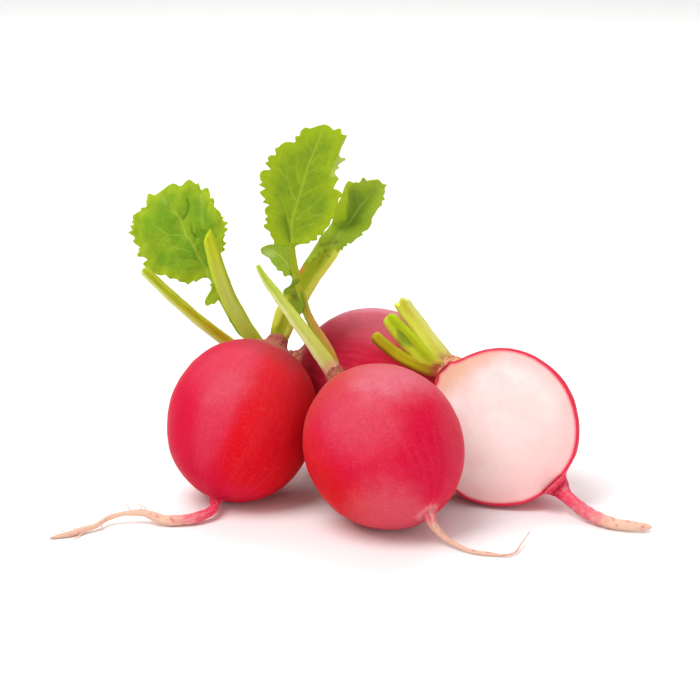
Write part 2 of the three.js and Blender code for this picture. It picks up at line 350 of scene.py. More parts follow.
def smooth_line(points, steps=24):
    """A smooth line through the points (centripetal Catmull-Rom), as a fine list of places."""
    places = [Vector(p) for p in points]
    ends = [places[0] * 2 - places[1]] + places + [places[-1] * 2 - places[-2]]
    fine = []
    for four in zip(ends, ends[1:], ends[2:], ends[3:]):
        knots = [0.0]
        for p, q in zip(four, four[1:]):
            knots.append(knots[-1] + max((q - p).length, 1e-9) ** 0.5)
        for step in range(steps):
            t = knots[1] + (knots[2] - knots[1]) * step / steps
            three = [reached(p, q, t, *span) for p, q, span in zip(four, four[1:], zip(knots, knots[1:]))]
            two = [reached(p, q, t, *span) for p, q, span in zip(three, three[1:], zip(knots, knots[2:]))]
            fine.append(reached(*two, t, knots[1], knots[2]))
    fine.append(places[-1])
    return fine


def stations_on(line, count, start=0.0, spacing=1.0):
    """count + 1 places on a fine line, from the share start of its length to its end: (share, point,
    direction). With a spacing above 1 they are closer together at the start."""
    lengths = [0.0]
    for p, q in zip(line, line[1:]):
        lengths.append(lengths[-1] + (q - p).length)
    found = []
    for i in range(count + 1):
        share = start + (1 - start) * (i / count) ** spacing
        wanted = share * lengths[-1]
        k = next((k for k in range(1, len(lengths)) if lengths[k] >= wanted - 1e-12), len(lengths) - 1)
        span = max(lengths[k] - lengths[k - 1], 1e-12)
        point = line[k - 1].lerp(line[k], (wanted - lengths[k - 1]) / span)
        low, high = max(k - 2, 0), min(k + 1, len(line) - 1)
        found.append((share, point, (line[high] - line[low]).normalized()))
    return found


def mark_growth(piece, line, facing, ball=None):
    """Writes where each vertex is on the plant: the cosine and sine of its angle round the middle line
    from its facing side, and the millimetres along it. The finishes follow it. Points inside the
    ball (centre, radius) follow only the first two stretches of the line."""
    points = np.array([tuple(p) for p in line])
    steps = points[1:] - points[:-1]
    spans = np.linalg.norm(steps, axis=1)
    keep = spans > 1e-9
    starts, steps, spans = points[:-1][keep], steps[keep], spans[keep]
    before = np.concatenate([[0], np.cumsum(spans)[:-1]])
    heading = steps / spans[:, None]
    sides = []
    side = np.array(tuple(facing), float)
    for direction in heading:
        side = side - direction * (side @ direction)
        side = side / np.linalg.norm(side)
        sides.append(side)
    place = np.zeros(len(piece.data.vertices) * 3)
    piece.data.vertices.foreach_get("co", place)
    place = place.reshape(-1, 3)
    nearest = np.full(len(place), np.inf)
    growth = np.zeros((len(place), 3))
    in_ball = np.zeros(len(place), bool)
    if ball:
        in_ball = np.linalg.norm(place - np.array(tuple(ball[0])), axis=1) < ball[1]
    for k in range(len(starts)):
        offset = place - starts[k]
        reach = offset @ heading[k]
        if ball and k < 2:
            reach = np.where(in_ball, reach, np.clip(reach, 0, spans[k]))
        else:
            reach = np.clip(reach, 0, spans[k])
        away = offset - reach[:, None] * heading[k]
        distance = np.linalg.norm(away, axis=1)
        better = distance < nearest - 1e-9
        if ball:
            upper = (place - starts[1]) @ (heading[0] - heading[1]) < 0
            if k == 0:
                better = ~in_ball | upper
            elif k == 1:
                better = (~in_ball & better) | (in_ball & ~upper)
            else:
                better = ~in_ball & better
        across = np.cross(heading[k], sides[k])
        cosine, sine = away @ sides[k], away @ across
        size = np.maximum(np.hypot(cosine, sine), 1e-9)
        values = np.stack([cosine / size, sine / size, (before[k] + reach) / MM], axis=1)
        growth[better] = values[better]
        nearest[better] = distance[better]
    attribute = piece.data.attributes.new("growth", "FLOAT_VECTOR", "POINT")
    attribute.data.foreach_set("vector", growth.astype(np.float32).ravel())


# ---------------------------------------------------------------- flat sheets
# Arrays of flat points, in millimetres.

EDGE_CLEARANCE = 0.1


def eased(value, start, end):
    """0 at start, 1 at end, and a smooth way between them."""
    t = np.clip((value - start) / (end - start), 0, 1)
    return t * t * (3 - 2 * t)


def distance_to(points, line):
    """Distance of each point of an array from a flat line of points, and the share along it."""
    line = np.array(line, float)
    best = np.full(len(points), np.inf)
    share = np.zeros(len(points))
    spans = np.linalg.norm(line[1:] - line[:-1], axis=1)
    total, before = spans.sum(), 0.0
    for a, b, span in zip(line, line[1:], spans):
        t = np.clip((points - a) @ (b - a) / max(span * span, 1e-12), 0, 1)
        d = np.linalg.norm(points - a - t[:, None] * (b - a), axis=1)
        closer = d < best
        best[closer] = d[closer]
        share[closer] = (before + t[closer] * span) / total
        before += span
    return best, share


def noise_at(points, size, seed):
    return np.array([noise.noise(Vector((x / size, y / size, seed))) for x, y in points])


def grid_over(edge, spacing):
    """Rows of evenly spaced places over an outline, every other row moved on by half a space."""
    low, high = edge.min(0), edge.max(0)
    rows, columns = int((high[1] - low[1]) / spacing) + 1, int((high[0] - low[0]) / spacing) + 1
    return [(low[0] + (column + 0.5 * (row % 2)) * spacing, low[1] + row * spacing)
            for row in range(rows) for column in range(columns)]


def filled(outline, inner):
    """Points and triangles that fill a closed outline, through the inner places that lie clear of it."""
    away, _ = distance_to(inner, outline + outline[:1])
    corners = [Vector(p) for p in outline] + [Vector(p) for p in inner[away > EDGE_CLEARANCE].tolist()]
    points, _, triangles, *_ = delaunay_2d_cdt(corners, [], [list(range(len(outline)))], 1, 1e-6)
    return np.array([tuple(p) for p in points]), triangles


# ---------------------------------------------------------------- the radishes

# tall and wide scale the ball along its taproot and across it. The neck is the collar's height and
# radius. The trail is the taproot's middle line, and its widths are its radii from the bulb to the
# tip, each with its share of the length.
RADISHES = {
    "radish_left": {
        "centre": (-26.5, 14.7, 14.95), "radius": 14.8, "tall": 1.065, "wide": 0.962,
        "crown": (0.405, 0.35, 0.85), "neck": (1.9, 1.95), "root": (-0.30, -0.52, -0.80),
        "trail": [
            (-31.3, 4.3, 1.9), (-32.0, 1.1, 1.7), (-33.6, 0.0, 1.4), (-35.1, -1.0, 1.2),
            (-37.0, -1.5, 1.1), (-38.5, -1.7, 1.1), (-40.2, -1.7, 1.2), (-41.6, -1.4, 1.5),
            (-43.0, -0.9, 1.9), (-44.4, -0.5, 2.2), (-46.2, -0.7, 2.2), (-48.1, -0.5, 2.0),
            (-49.4, -0.8, 1.7), (-50.8, -1.3, 1.4), (-51.8, -2.7, 1.1), (-52.8, -4.1, 0.9),
            (-54.5, -5.2, 0.8), (-56.0, -6.2, 0.7), (-57.0, -7.1, 0.6), (-58.5, -7.6, 0.5),
            (-60.4, -8.4, 0.3)],
        "widths": [
            (0, 1.3), (0.03, 1.0), (0.06, 0.86), (0.12, 0.86), (0.17, 0.9), (0.22, 0.97), (0.30, 1.0),
            (0.36, 0.97), (0.42, 0.92), (0.47, 0.86), (0.52, 0.72), (0.57, 0.6), (0.62, 0.56),
            (0.67, 0.56), (0.72, 0.5), (0.78, 0.46), (0.84, 0.46), (0.9, 0.42), (0.95, 0.32),
            (1, 0.12)],
    },
    "radish_front": {
        "centre": (0, 0, 15.0), "radius": 15, "tall": 1.047, "wide": 0.97,
        "crown": (-0.506, 0.635, 0.584), "neck": (3.0, 1.8), "root": (0.506, -0.635, -0.584),
        "trail": [
            (8.4, -10.2, 4.4), (9.2, -10.1, 3.0), (10.3, -10.9, 2.0), (11.4, -11.7, 1.4),
            (12.7, -13.1, 1.0), (14.0, -14.3, 0.8), (15.3, -15.2, 0.6), (16.8, -15.7, 0.5),
            (18.3, -16.0, 0.4), (19.7, -16.4, 0.4), (20.8, -16.8, 0.4), (22.1, -16.5, 0.4),
            (23.3, -15.7, 0.5), (23.9, -14.2, 0.6), (24.7, -12.0, 0.8), (25.5, -10.1, 1.0),
            (26.5, -7.8, 1.3)],
        "widths": [
            (0, 1.5), (0.03, 1.2), (0.07, 1.02), (0.12, 0.84), (0.17, 0.68), (0.22, 0.57), (0.27, 0.44),
            (0.33, 0.36), (0.38, 0.26), (0.45, 0.27), (0.5, 0.29), (0.58, 0.23), (0.65, 0.2),
            (0.7, 0.14), (0.78, 0.09), (0.9, 0.08), (1, 0.09)],
    },
    "radish_back": {
        "centre": (-1.7, 32.5, 15.6), "radius": 15.9, "tall": 1.0, "wide": 1.0,
        "crown": (-0.971, 0.057, 0.23), "neck": (2.2, 3.3), "root": (0.96, -0.05, -0.28),
        "trail": [
            (17.6, 31.4, 9.4), (21.0, 31.4, 6.0), (24.6, 32.0, 3.0), (29.0, 33.2, 1.4),
            (33.6, 34.4, 0.9), (38.0, 34.6, 0.5)],
        "widths": [
            (0, 1.7), (0.05, 1.2), (0.12, 1.0), (0.3, 0.92), (0.5, 0.7), (0.7, 0.5), (0.9, 0.3),
            (1, 0.14)],
    },
    "radish_half": {
        "centre": (22.3, 11.55, 14.65), "radius": 14.85, "tall": 1.0, "wide": 1.0,
        "crown": (-0.643, 0.48, 0.606), "neck": (1.7, 3.0), "root": (0.699, -0.258, -0.676),
        "trail": [
            (34.2, 4.8, 3.5), (35.7, 2.8, 2.7), (36.9, 1.5, 2.1), (38.2, -0.1, 1.75),
            (39.9, -1.9, 1.5), (41.9, -3.4, 1.3), (44.2, -4.2, 1.2), (46.6, -4.6, 1.1),
            (48.0, -4.6, 1.0), (49.0, -4.6, 0.95)],
        "widths": [
            (0, 2.7), (0.03, 2.2), (0.08, 1.75), (0.15, 1.42), (0.23, 1.3), (0.31, 1.22), (0.46, 1.2),
            (0.56, 1.22), (0.64, 1.15), (0.75, 1.0), (0.84, 0.92), (0.92, 0.78), (0.97, 0.56),
            (1, 0.3)],
    },
}
SEGMENTS, RINGS = 32, 24    # of the ball that a bulb starts from
CAGE_SWELL = 1.006          # makes up for the rounding, which draws the ball in
RING_ANGLE = math.pi / RINGS
ROOT_STEPS = 34
ROOT_START = 0.015          # the first ring's share of the taproot's length
ROOT_SPACING = 1.2          # above 1, its rings are closer together at the bulb
ROOT_RUN_OUT = 0.8 * MM     # how far the taproot runs straight out of the bulb
# The collar's rings: their heights up the neck and their radii, as shares of the neck's.
COLLAR_RINGS = [(0.18, 1.08), (0.4, 0.98), (0.65, 0.97), (0.88, 0.95), (1.0, 0.72)]
COLLAR_FLARE = 1.25         # how much wider than the neck the collar starts on the bulb
COLLAR_LOBES = 9
COLLAR_SKIRT = 1.2 * MM     # the ridges start this far below the bulb's top,
COLLAR_REACH = 6 * MM       # this far from its axis at most,
RIDGE_FADE = 0.8 * MM       # and grow in from this far below it to this far above it
ROOTLET_SIDES = 6


def crown_top(name):
    facts = RADISHES[name]
    reach = facts["radius"] * facts["tall"] + facts["neck"][0]
    return at(facts["centre"]) + Vector(facts["crown"]).normalized() * reach * MM


def radish_line(name):
    """The middle line: the crown's top, the bulb's centre, and the taproot's own fine line."""
    facts = RADISHES[name]
    centre = at(facts["centre"])
    root = Vector(facts["root"]).normalized()
    base = centre + root * facts["radius"] * facts["tall"] * MM
    trail = smooth_line([base, base + root * ROOT_RUN_OUT] + [at(p) for p in facts["trail"]])
    return crown_top(name), centre, trail


def bulb(name):
    """A bulb with its collar and its taproot, grown out of a ball."""
    facts = RADISHES[name]
    centre = at(facts["centre"])
    radius = facts["radius"] * MM
    high, wide = radius * facts["tall"], radius * facts["wide"]
    crown = Vector(facts["crown"]).normalized()
    root = Vector(facts["root"]).normalized()
    neck_length, neck_radius = facts["neck"][0] * MM, facts["neck"][1] * MM

    nothing_selected()
    bpy.ops.mesh.primitive_uv_sphere_add(
        segments=SEGMENTS, ring_count=RINGS, radius=radius * CAGE_SWELL, location=centre,
        rotation=(-root).to_track_quat("Z", "Y").to_euler())
    bpy.context.object.scale = (facts["wide"], facts["wide"], facts["tall"])
    piece = start("grown_" + name)

    # The crown isn't quite opposite the taproot, so the upper half leans over to it.
    pole = centre - root * high * CAGE_SWELL
    choose(lambda place: (place - pole).length < 0.1 * MM)
    turn((-root).rotation_difference(crown), centre, use_proportional_edit=True,
         proportional_edit_falloff="SMOOTH", proportional_size=radius * 1.4)

    # The taproot, out of the cap of the ball that is about as wide as its foot.
    _, _, trail = radish_line(name)
    shares, radii = zip(*facts["widths"])
    first = radii[0] * MM
    rings = 2 if first > wide * math.sin(RING_ANGLE) * 1.2 else 1
    cap = RING_ANGLE * (rings + 0.5)
    choose(lambda place: (place - centre).angle(root) < cap)
    foot = centre + root * high * math.sqrt(1 - (first / wide) ** 2)
    here = centre + root * high * CAGE_SWELL * math.cos(RING_ANGLE * rings)
    bpy.ops.transform.resize(value=(first / (wide * CAGE_SWELL * math.sin(RING_ANGLE * rings)),) * 3,
                             center_override=here)
    bpy.ops.transform.translate(value=foot - here)
    stations = []
    for share, point, direction in stations_on(trail, ROOT_STEPS, ROOT_START, ROOT_SPACING):
        wobble = 1 + 0.04 * math.sin(share * 61) + 0.05 * math.sin(share * 143 + 1)
        stations.append((point, direction, float(np.interp(share, shares, radii)) * MM * wobble))
    extrude_along(stations, foot, root, first)

    # The collar: old leaf bases round a short neck.
    rings = 1 if neck_radius < 2.6 * MM else 2
    cap = RING_ANGLE * (rings + 0.5)
    choose(lambda place: (place - centre).angle(crown) < cap)
    foot = centre + crown * high * math.cos(RING_ANGLE * rings)
    foot_radius = wide * math.sin(RING_ANGLE * rings)
    first = neck_radius * COLLAR_FLARE
    bpy.ops.transform.resize(value=(first / foot_radius,) * 3, center_override=foot)
    stations = [(centre + crown * (high + neck_length * rise), crown, neck_radius * width)
                for rise, width in COLLAR_RINGS]
    extrude_along(stations, foot, crown, first)
    bpy.ops.object.mode_set(mode="OBJECT")
    return piece


def ramp(value, low, high):
    """0 up to low, 1 from high on, and a straight rise between them."""
    return min(max((value - low) / (high - low), 0), 1)


def collar_ridges(piece, name):
    """Presses the collar in between the old leaf bases, and roughens it."""
    facts = RADISHES[name]
    centre = at(facts["centre"])
    crown = Vector(facts["crown"]).normalized()
    side = crown.orthogonal().normalized()
    across = crown.cross(side)
    high, neck = facts["radius"] * facts["tall"] * MM, facts["neck"][0] * MM
    for vertex in piece.data.vertices:
        offset = vertex.co - centre
        height = offset.dot(crown) - high
        flat = offset - crown * offset.dot(crown)
        if height < -COLLAR_SKIRT or flat.length > COLLAR_REACH:
            continue
        angle = math.atan2(flat.dot(across), flat.dot(side))
        rise = ramp(height, -RIDGE_FADE, RIDGE_FADE)
        groove = math.cos(COLLAR_LOBES * angle + 0.6 * math.sin(2 * angle)) * 0.4
        groove += 0.25 * math.sin(5 * angle + 1)
        rough = noise.noise(vertex.co / (0.9 * MM)) + 0.5 * noise.noise(vertex.co / (0.4 * MM))
        vertex.co += flat.normalized() * (groove * 0.14 + rough * 0.26) * rise * MM
        rim = ramp(height, neck * 0.7, neck)
        vertex.co += crown * rim * 0.3 * MM * math.sin(3 * angle + 2)


def settle(piece):
    """Nothing reaches below the surface that the bunch rests on."""
    nothing_selected()
    bpy.context.view_layer.objects.active = piece
    bpy.ops.object.mode_set(mode="EDIT")
    choose(lambda place: place.z < 0)
    bpy.ops.transform.resize(value=(1, 1, 0), center_override=(0, 0, 0))
    bpy.ops.object.mode_set(mode="OBJECT")


def rootlet(points, thick, thin):
    """A fine rootlet along the points, with its radius at the start and at the tip."""
    line = smooth_line([at(p) for p in points], 8)
    stations = stations_on(line, max(5, len(points) * 3))
    _, point, direction = stations[0]
    nothing_selected()
    bpy.ops.mesh.primitive_circle_add(
        vertices=ROOTLET_SIDES, radius=thick * MM, fill_type="NGON", location=point,
        rotation=direction.to_track_quat("Z", "Y").to_euler())
    piece = start("rootlet")
    bpy.ops.mesh.select_all(action="SELECT")
    extrude_along([(p, d, (thick + (thin - thick) * s) * MM) for s, p, d in stations[1:]],
                  point, direction, thick * MM)
    bpy.ops.object.mode_set(mode="OBJECT")
    return piece


# Each rootlet is its points, its radius at the start and its radius at the tip.
ROOTLETS = {
    "radish_left": [
        ([(-53.9, -4.9, 0.8), (-54.9, -6.2, 0.45), (-55.4, -7.4, 0.3), (-56.2, -8.9, 0.2)], 0.26, 0.07),
        ([(-46.6, -0.6, 2.5), (-46.9, -0.5, 3.2), (-47.3, -0.5, 3.8), (-47.9, -0.6, 4.2)], 0.13, 0.04),
        ([(-44.6, -0.5, 2.6), (-44.7, -0.5, 3.4), (-45.2, -0.6, 4.0)], 0.11, 0.04),
        ([(-43.6, -0.7, 2.4), (-43.9, -0.7, 3.2), (-44.6, -0.8, 3.9), (-45.3, -0.8, 4.2)], 0.1, 0.035),
        ([(-57.6, -7.2, 0.8), (-58.6, -7.3, 1.3), (-60.0, -7.5, 1.8), (-61.0, -7.7, 2.1)], 0.08, 0.03),
        ([(-55.9, -6.1, 1.0), (-56.9, -6.3, 1.7), (-58.2, -6.9, 1.6), (-58.7, -7.3, 1.0)], 0.07, 0.03),
        ([(-51.8, -2.7, 0.8), (-51.6, -3.9, 0.35), (-51.9, -4.4, 0.2)], 0.12, 0.05),
    ],
    "radish_front": [
        ([(10.0, -10.8, 2.6), (10.6, -11.4, 2.9), (10.8, -11.8, 2.6)], 0.16, 0.06),
    ],
}


# ---------------------------------------------------------------- the cut

CUT_RADISH = "radish_half"
CUT_FACING = Vector((-0.2313, -0.9279, 0.2924)).normalized()
CUT_IN_FRONT = 1.0 * MM     # the cut's distance from the bulb's centre
CUT_TO_ROOT = 14.5 * MM     # how far it goes from there towards the taproot
CUT_TO_CROWN = 15.6 * MM    # and towards the crown
FLESH_SPACING = 0.45        # of the flesh's triangles
FLESH_RINGS = (0.12, 0.26, 0.42, 0.62, 0.9)     # finer rings of points, this far inside the skin
WELD = 0.002 * MM


def halve(piece):
    """Cuts away the front of the bulb with a block. The block leaves one broad flat face."""
    facts = RADISHES[CUT_RADISH]
    root = Vector(facts["root"]).normalized()
    across = CUT_FACING.cross(root).normalized()
    along = across.cross(CUT_FACING)
    depth = (facts["radius"] + 2) * MM
    middle = (at(facts["centre"]) + along * (CUT_TO_ROOT - CUT_TO_CROWN) / 2
              + CUT_FACING * (CUT_IN_FRONT + depth / 2))
    nothing_selected()
    bpy.ops.mesh.primitive_cube_add(size=1, location=middle)
    block = bpy.context.object
    block.name = "knife"
    basis = Matrix((along, across, CUT_FACING)).transposed().to_4x4()
    block.matrix_world = Matrix.Translation(middle) @ basis @ Matrix.Diagonal(
        (CUT_TO_ROOT + CUT_TO_CROWN, depth * 2.2, depth, 1))
    bpy.ops.object.transform_apply(location=True, rotation=True, scale=True)
    apply_modifier(piece, "BOOLEAN", operation="DIFFERENCE", object=block, solver="EXACT")
    bpy.data.objects.remove(block)


def fill_with_flesh(piece):
    """Takes out the one broad face that the block left, and fills it with a fine sheet of flesh that
    knows how deep it lies under the skin."""
    mesh = piece.data
    broad = max(mesh.polygons, key=lambda face: face.area * (face.normal.dot(CUT_FACING) > 0.99))
    rim = [mesh.vertices[i].co.copy() for i in broad.vertices]
    broad_index = broad.index
    origin = rim[0]
    right = CUT_FACING.orthogonal().normalized()
    up = CUT_FACING.cross(right)
    outline = [((p - origin).dot(right) / MM, (p - origin).dot(up) / MM) for p in rim]

    nothing_selected()
    piece.select_set(True)
    bpy.context.view_layer.objects.active = piece
    bpy.ops.object.mode_set(mode="EDIT")
    edit = bmesh.from_edit_mesh(mesh)
    bpy.context.tool_settings.mesh_select_mode = (False, False, True)
    for face in edit.faces:
        face.select = face.index == broad_index
    bmesh.update_edit_mesh(mesh)
    bpy.ops.mesh.delete(type="ONLY_FACE")
    bpy.ops.object.mode_set(mode="OBJECT")

    edge = np.array(outline)
    inner = []
    for in_by in FLESH_RINGS:
        inner += ring_inside(edge, in_by)
    points, triangles = filled(outline, np.array(inner + grid_over(edge, FLESH_SPACING)))
    depth, _ = distance_to(points, outline + outline[:1])
    uneven = 0.10 + 0.16 * noise_at(points, 6.0, 2.2) + 0.05 * noise_at(points, 1.8, 5.5)
    swell = eased(depth, 0.0, 0.5) * uneven
    places = [origin + (right * p[0] + up * p[1] + CUT_FACING * h) * MM for p, h in zip(points, swell)]
    sheet_mesh = bpy.data.meshes.new("flesh")
    sheet_mesh.from_pydata(places, [], triangles)
    attribute = sheet_mesh.attributes.new("depth", "FLOAT", "POINT")
    attribute.data.foreach_set("value", depth.astype(np.float32))
    for material in piece.data.materials:
        sheet_mesh.materials.append(material)
    for face in sheet_mesh.polygons:
        face.material_index = 1
    sheet = bpy.data.objects.new("flesh", sheet_mesh)
    bpy.context.scene.collection.objects.link(sheet)
    join_into(piece, [sheet])
    bpy.ops.object.mode_set(mode="EDIT")
    bpy.ops.mesh.select_all(action="SELECT")
    bpy.ops.mesh.remove_doubles(threshold=WELD)
    bpy.ops.object.mode_set(mode="OBJECT")


def ring_inside(edge, in_by):
    """Points a little inside a closed outline, one for each of its corners."""
    area = np.sum(edge[:, 0] * np.roll(edge[:, 1], -1) - np.roll(edge[:, 0], -1) * edge[:, 1])
    tangent = np.roll(edge, -1, 0) - np.roll(edge, 1, 0)
    tangent /= np.maximum(np.linalg.norm(tangent, axis=1), 1e-9)[:, None]
    inward = np.column_stack([-tangent[:, 1], tangent[:, 0]]) * np.sign(area)
    ring = edge + inward * in_by
    return [tuple(p) for p in ring]


# ---------------------------------------------------------------- finishes

CRIMSON, SCARLET = (0.60, 0.007, 0.046), (0.63, 0.006, 0.012)
# The dust colour is the pale pink of the skin's dust and of the painted highlight and painted sheen that
# share it.
DEEP_RED, PALE_RED, DUST_AND_HIGHLIGHT = (0.47, 0.003, 0.022), (0.65, 0.09, 0.14), (0.66, 0.215, 0.265)


def bulb_colour(finish, place, neck, root_length, streaks, upper_dust_and_sheen, shoulder_colour_and_shade, shoulder_and_shade_reach, tone, bands,
                dust_and_highlight_patches, warm):
    """Crimson, scarlet where it is warm, with fine streaks, scratches and freckles, and pale dust that
    is partly painted highlight and painted sheen.
    """
    _, sine, along = finish.growth
    crimson, scarlet, deep, pale = [scaled(red, tone) for red in (CRIMSON, SCARLET, DEEP_RED, PALE_RED)]
    warm_side, warm_from = warm
    warm_half = (sine * warm_side).rise(warm_from - 0.5, warm_from) * along.rise(root_length, root_length - 8)
    warmth = finish.mottle(place, 0.10, 3).rise(0.35, 0.65) * 0.3 + warm_half
    colour = finish.blend(warmth, crimson, scarlet)
    colour = finish.blend(finish.mottle(place, 0.5, 4).rise(0.5, 0.8) * 0.4, colour, deep)
    grain = finish.mottle(place, 1.9, 4, 0.75)
    colour = finish.blend(grain.rise(0.5, 0.72) * 0.22, colour, pale)
    colour = finish.blend(streaks.rise(0.5, 0.75) * bands, colour, pale)
    colour = finish.blend(streaks.rise(0.5, 0.3) * bands * 1.6, colour, deep)
    scratches = finish.mottle(finish.stretched(place, (0.22, 1.0, 2.4)), 0.9, 3).rise(0.66, 0.72)
    colour = finish.blend(scratches * 0.06, colour, (0.80, 0.24, 0.27))
    freckles = finish.cells(place, 0.9).rise(0.14, 0.04) * finish.mottle(place, 0.35).rise(0.5, 0.66)
    colour = finish.blend(freckles * 0.3, colour, (0.86, 0.30, 0.32))
    # Pale dust over the upper half and in patches: partly the skin's dust, partly painted highlight, painted
    # sheen at the rims and painted light on a shaded side.
    dust_and_highlight = along.rise(neck + 23, neck + 1) * upper_dust_and_sheen
    cloudy = finish.mottle(place, 0.3, 4, 0.6)
    for *where, amount in dust_and_highlight_patches:
        spread = (finish.oval(*where) + 0.5 * (cloudy - 0.5)).rise(1.0, 0.0)
        dust_and_highlight = dust_and_highlight + spread * spread * amount
    colour = finish.blend(dust_and_highlight * (0.4 + 1.2 * grain), colour, scaled(DUST_AND_HIGHLIGHT, tone))
    # The shoulder colour round the collar: painted shade between the bulbs on the back radish and on the left
    # radish's top, the skin's own colour on the others.
    near_crown = along + 5 * (finish.mottle(place, 0.6, 4) - 0.5)
    return finish.blend(near_crown.rise(neck + shoulder_and_shade_reach, neck + 0.5) * 0.75, colour, shoulder_colour_and_shade)


def bark_colour(finish, flakes, fine_flakes, bark_and_shade, tan):
    """The collar's brown, tan and maroon in small blotches."""
    colour = finish.blend(flakes.rise(0.42, 0.6), bark_and_shade, (0.40, 0.15, 0.085))
    colour = finish.blend((flakes * 0.5 + fine_flakes * 0.5).rise(0.54, 0.66) * 0.85, colour, tan)
    return finish.blend(fine_flakes.rise(0.42, 0.32) * 0.7, colour, (0.12, 0.02, 0.02))


def taproot_colour(finish, place, beyond, blotches, rays, magenta, cream):
    """Magenta at the bulb and cream towards the tip, with rays, spots, pale patches and thin rings."""
    turning = (beyond + 12 * (blotches - 0.5)).rise(magenta - 1.0, cream + 1.0)
    creamy = (beyond + 10 * (blotches - 0.5)).rise(cream - 2.5, cream + 2.5)
    magentas = finish.mottle(place, 1.4, 4).rise(0.35, 0.7) * 0.5
    colour = finish.blend(magentas, (0.78, 0.025, 0.09), (0.86, 0.16, 0.24))
    colour = finish.blend(turning * 0.8, colour, (0.74, 0.24, 0.27))
    colour = finish.blend(creamy, colour, (0.82, 0.53, 0.39))
    colour = finish.blend(rays.rise(0.55, 0.75) * 0.22, colour, (0.88, 0.60, 0.50))
    spots = finish.mottle(finish.grown(0.8, 0.8), 1.2, 3).rise(0.56, 0.74)
    colour = finish.blend(spots * 0.7, colour, (0.62, 0.12, 0.13))
    pale_patches = finish.mottle(finish.grown(1.0, 0.45), 1.1, 4, 0.65).rise(0.5, 0.66)
    colour = finish.blend(pale_patches * 0.38, colour, (0.80, 0.42, 0.42))
    rings = finish.mottle(finish.grown(0.2, 1.6), 1.2, 3).rise(0.62, 0.74)
    return finish.blend(rings * 0.4, colour, (0.62, 0.26, 0.16))


def skin_finish(name, magenta, cream, upper_dust_and_sheen, shoulder_colour_and_shade, shoulder_and_shade_reach, bark_and_shade, tone=1.0, bands=0.1,
                root_start=0.5, pale_foot=0.0, tan=(0.62, 0.40, 0.20), dust_and_highlight_patches=(), warm=(1, 2)):
    """Radish skin, from the collar to the tip of the taproot. Lengths are in millimetres.

    The taproot turns from magenta to cream between those lengths beyond the bulb, and its colour
    begins root_start before the bulb's end. The upper dust and sheen is how pale the bulb's upper half
    is with dust and painted sheen, and each of the dust and highlight patches is its place across (-1
    to 1) and along, its reach across and along, and how pale it is; these patches are partly the
    skin's dusty bloom and partly painted highlight, painted sheen at the rims and painted light on a
    shaded lower side. The shoulder colour is the colour round the collar, as far as its reach; on the
    back radish it is painted shade between the bulbs, and on the left radish it darkens the top as
    painted shade. The bark and the tan are the collar's, and the back radish's bark is darkened as
    painted shade. The tone brightens the reds, the bands are how clear the streaks are, and pale_foot
    is how pale the skin is just round the taproot. warm is the side that is scarlet (1 or -1), and
    the sine from which it fully is."""
    facts = RADISHES[name]
    neck = facts["neck"][0]
    root_length = 2 * facts["radius"] * facts["tall"] + neck
    finish = Finish(name)
    _, _, along = finish.follow_growth()
    place = finish.place()
    streaks = finish.mottle(finish.grown(7, 0.05), 1.0, 5, 0.65)
    colour = bulb_colour(finish, place, neck, root_length, streaks, upper_dust_and_sheen, shoulder_colour_and_shade, shoulder_and_shade_reach,
                         tone, bands, dust_and_highlight_patches, warm)

    flakes = finish.mottle(finish.grown(2.4, 1.1), 1.5, 5, 0.7)
    fine_flakes = finish.mottle(place, 2.2, 4, 0.7)
    collar = (along + 1.6 * (flakes - 0.5)).rise(neck + 1.3, neck + 0.1)
    colour = finish.blend(collar, colour, bark_colour(finish, flakes, fine_flakes, bark_and_shade, tan))

    blotches = finish.mottle(finish.grown(1.6, 0.5), 1.0, 5, 0.7)
    rays = finish.mottle(finish.grown(5, 0.25), 1.2, 4, 0.7)
    if pale_foot:
        scar = (along + 0.5 * (blotches - 0.5)).rise(root_length - 0.34, root_length - 0.06)
        scar = scar * (0.4 + 0.6 * rays.rise(0.3, 0.6)) * pale_foot
        colour = finish.blend(scar, colour, (0.84, 0.42, 0.42))
    red_until = root_length - root_start
    on_root = (along + 1.5 * (rays - 0.5)).rise(red_until - 0.5, red_until + 1.5)
    root_colour = taproot_colour(finish, place, along - root_length, blotches, rays, magenta, cream)
    colour = finish.blend(on_root, colour, root_colour)

    pores = finish.mottle(place, 3.5, 3, 0.6)
    wrinkles = finish.mottle(finish.grown(0.8, 1.6), 1.4, 4, 0.6)
    relief = pores * 0.10 + streaks * 0.25 + collar * (flakes * 2.0 + fine_flakes)
    relief = relief + on_root * (wrinkles * 1.6 + rays * 0.6)
    return finish.done(
        bump=relief, bump_size=0.16, Base_Color=colour,
        Roughness=0.31 + 0.12 * pores + 0.25 * collar + 0.16 * on_root,
        Specular_IOR_Level=0.03, IOR=1.33, Subsurface_Weight=0.12,
        Subsurface_Radius=(0.6, 0.2, 0.15), Subsurface_Scale=1.0 * MM)


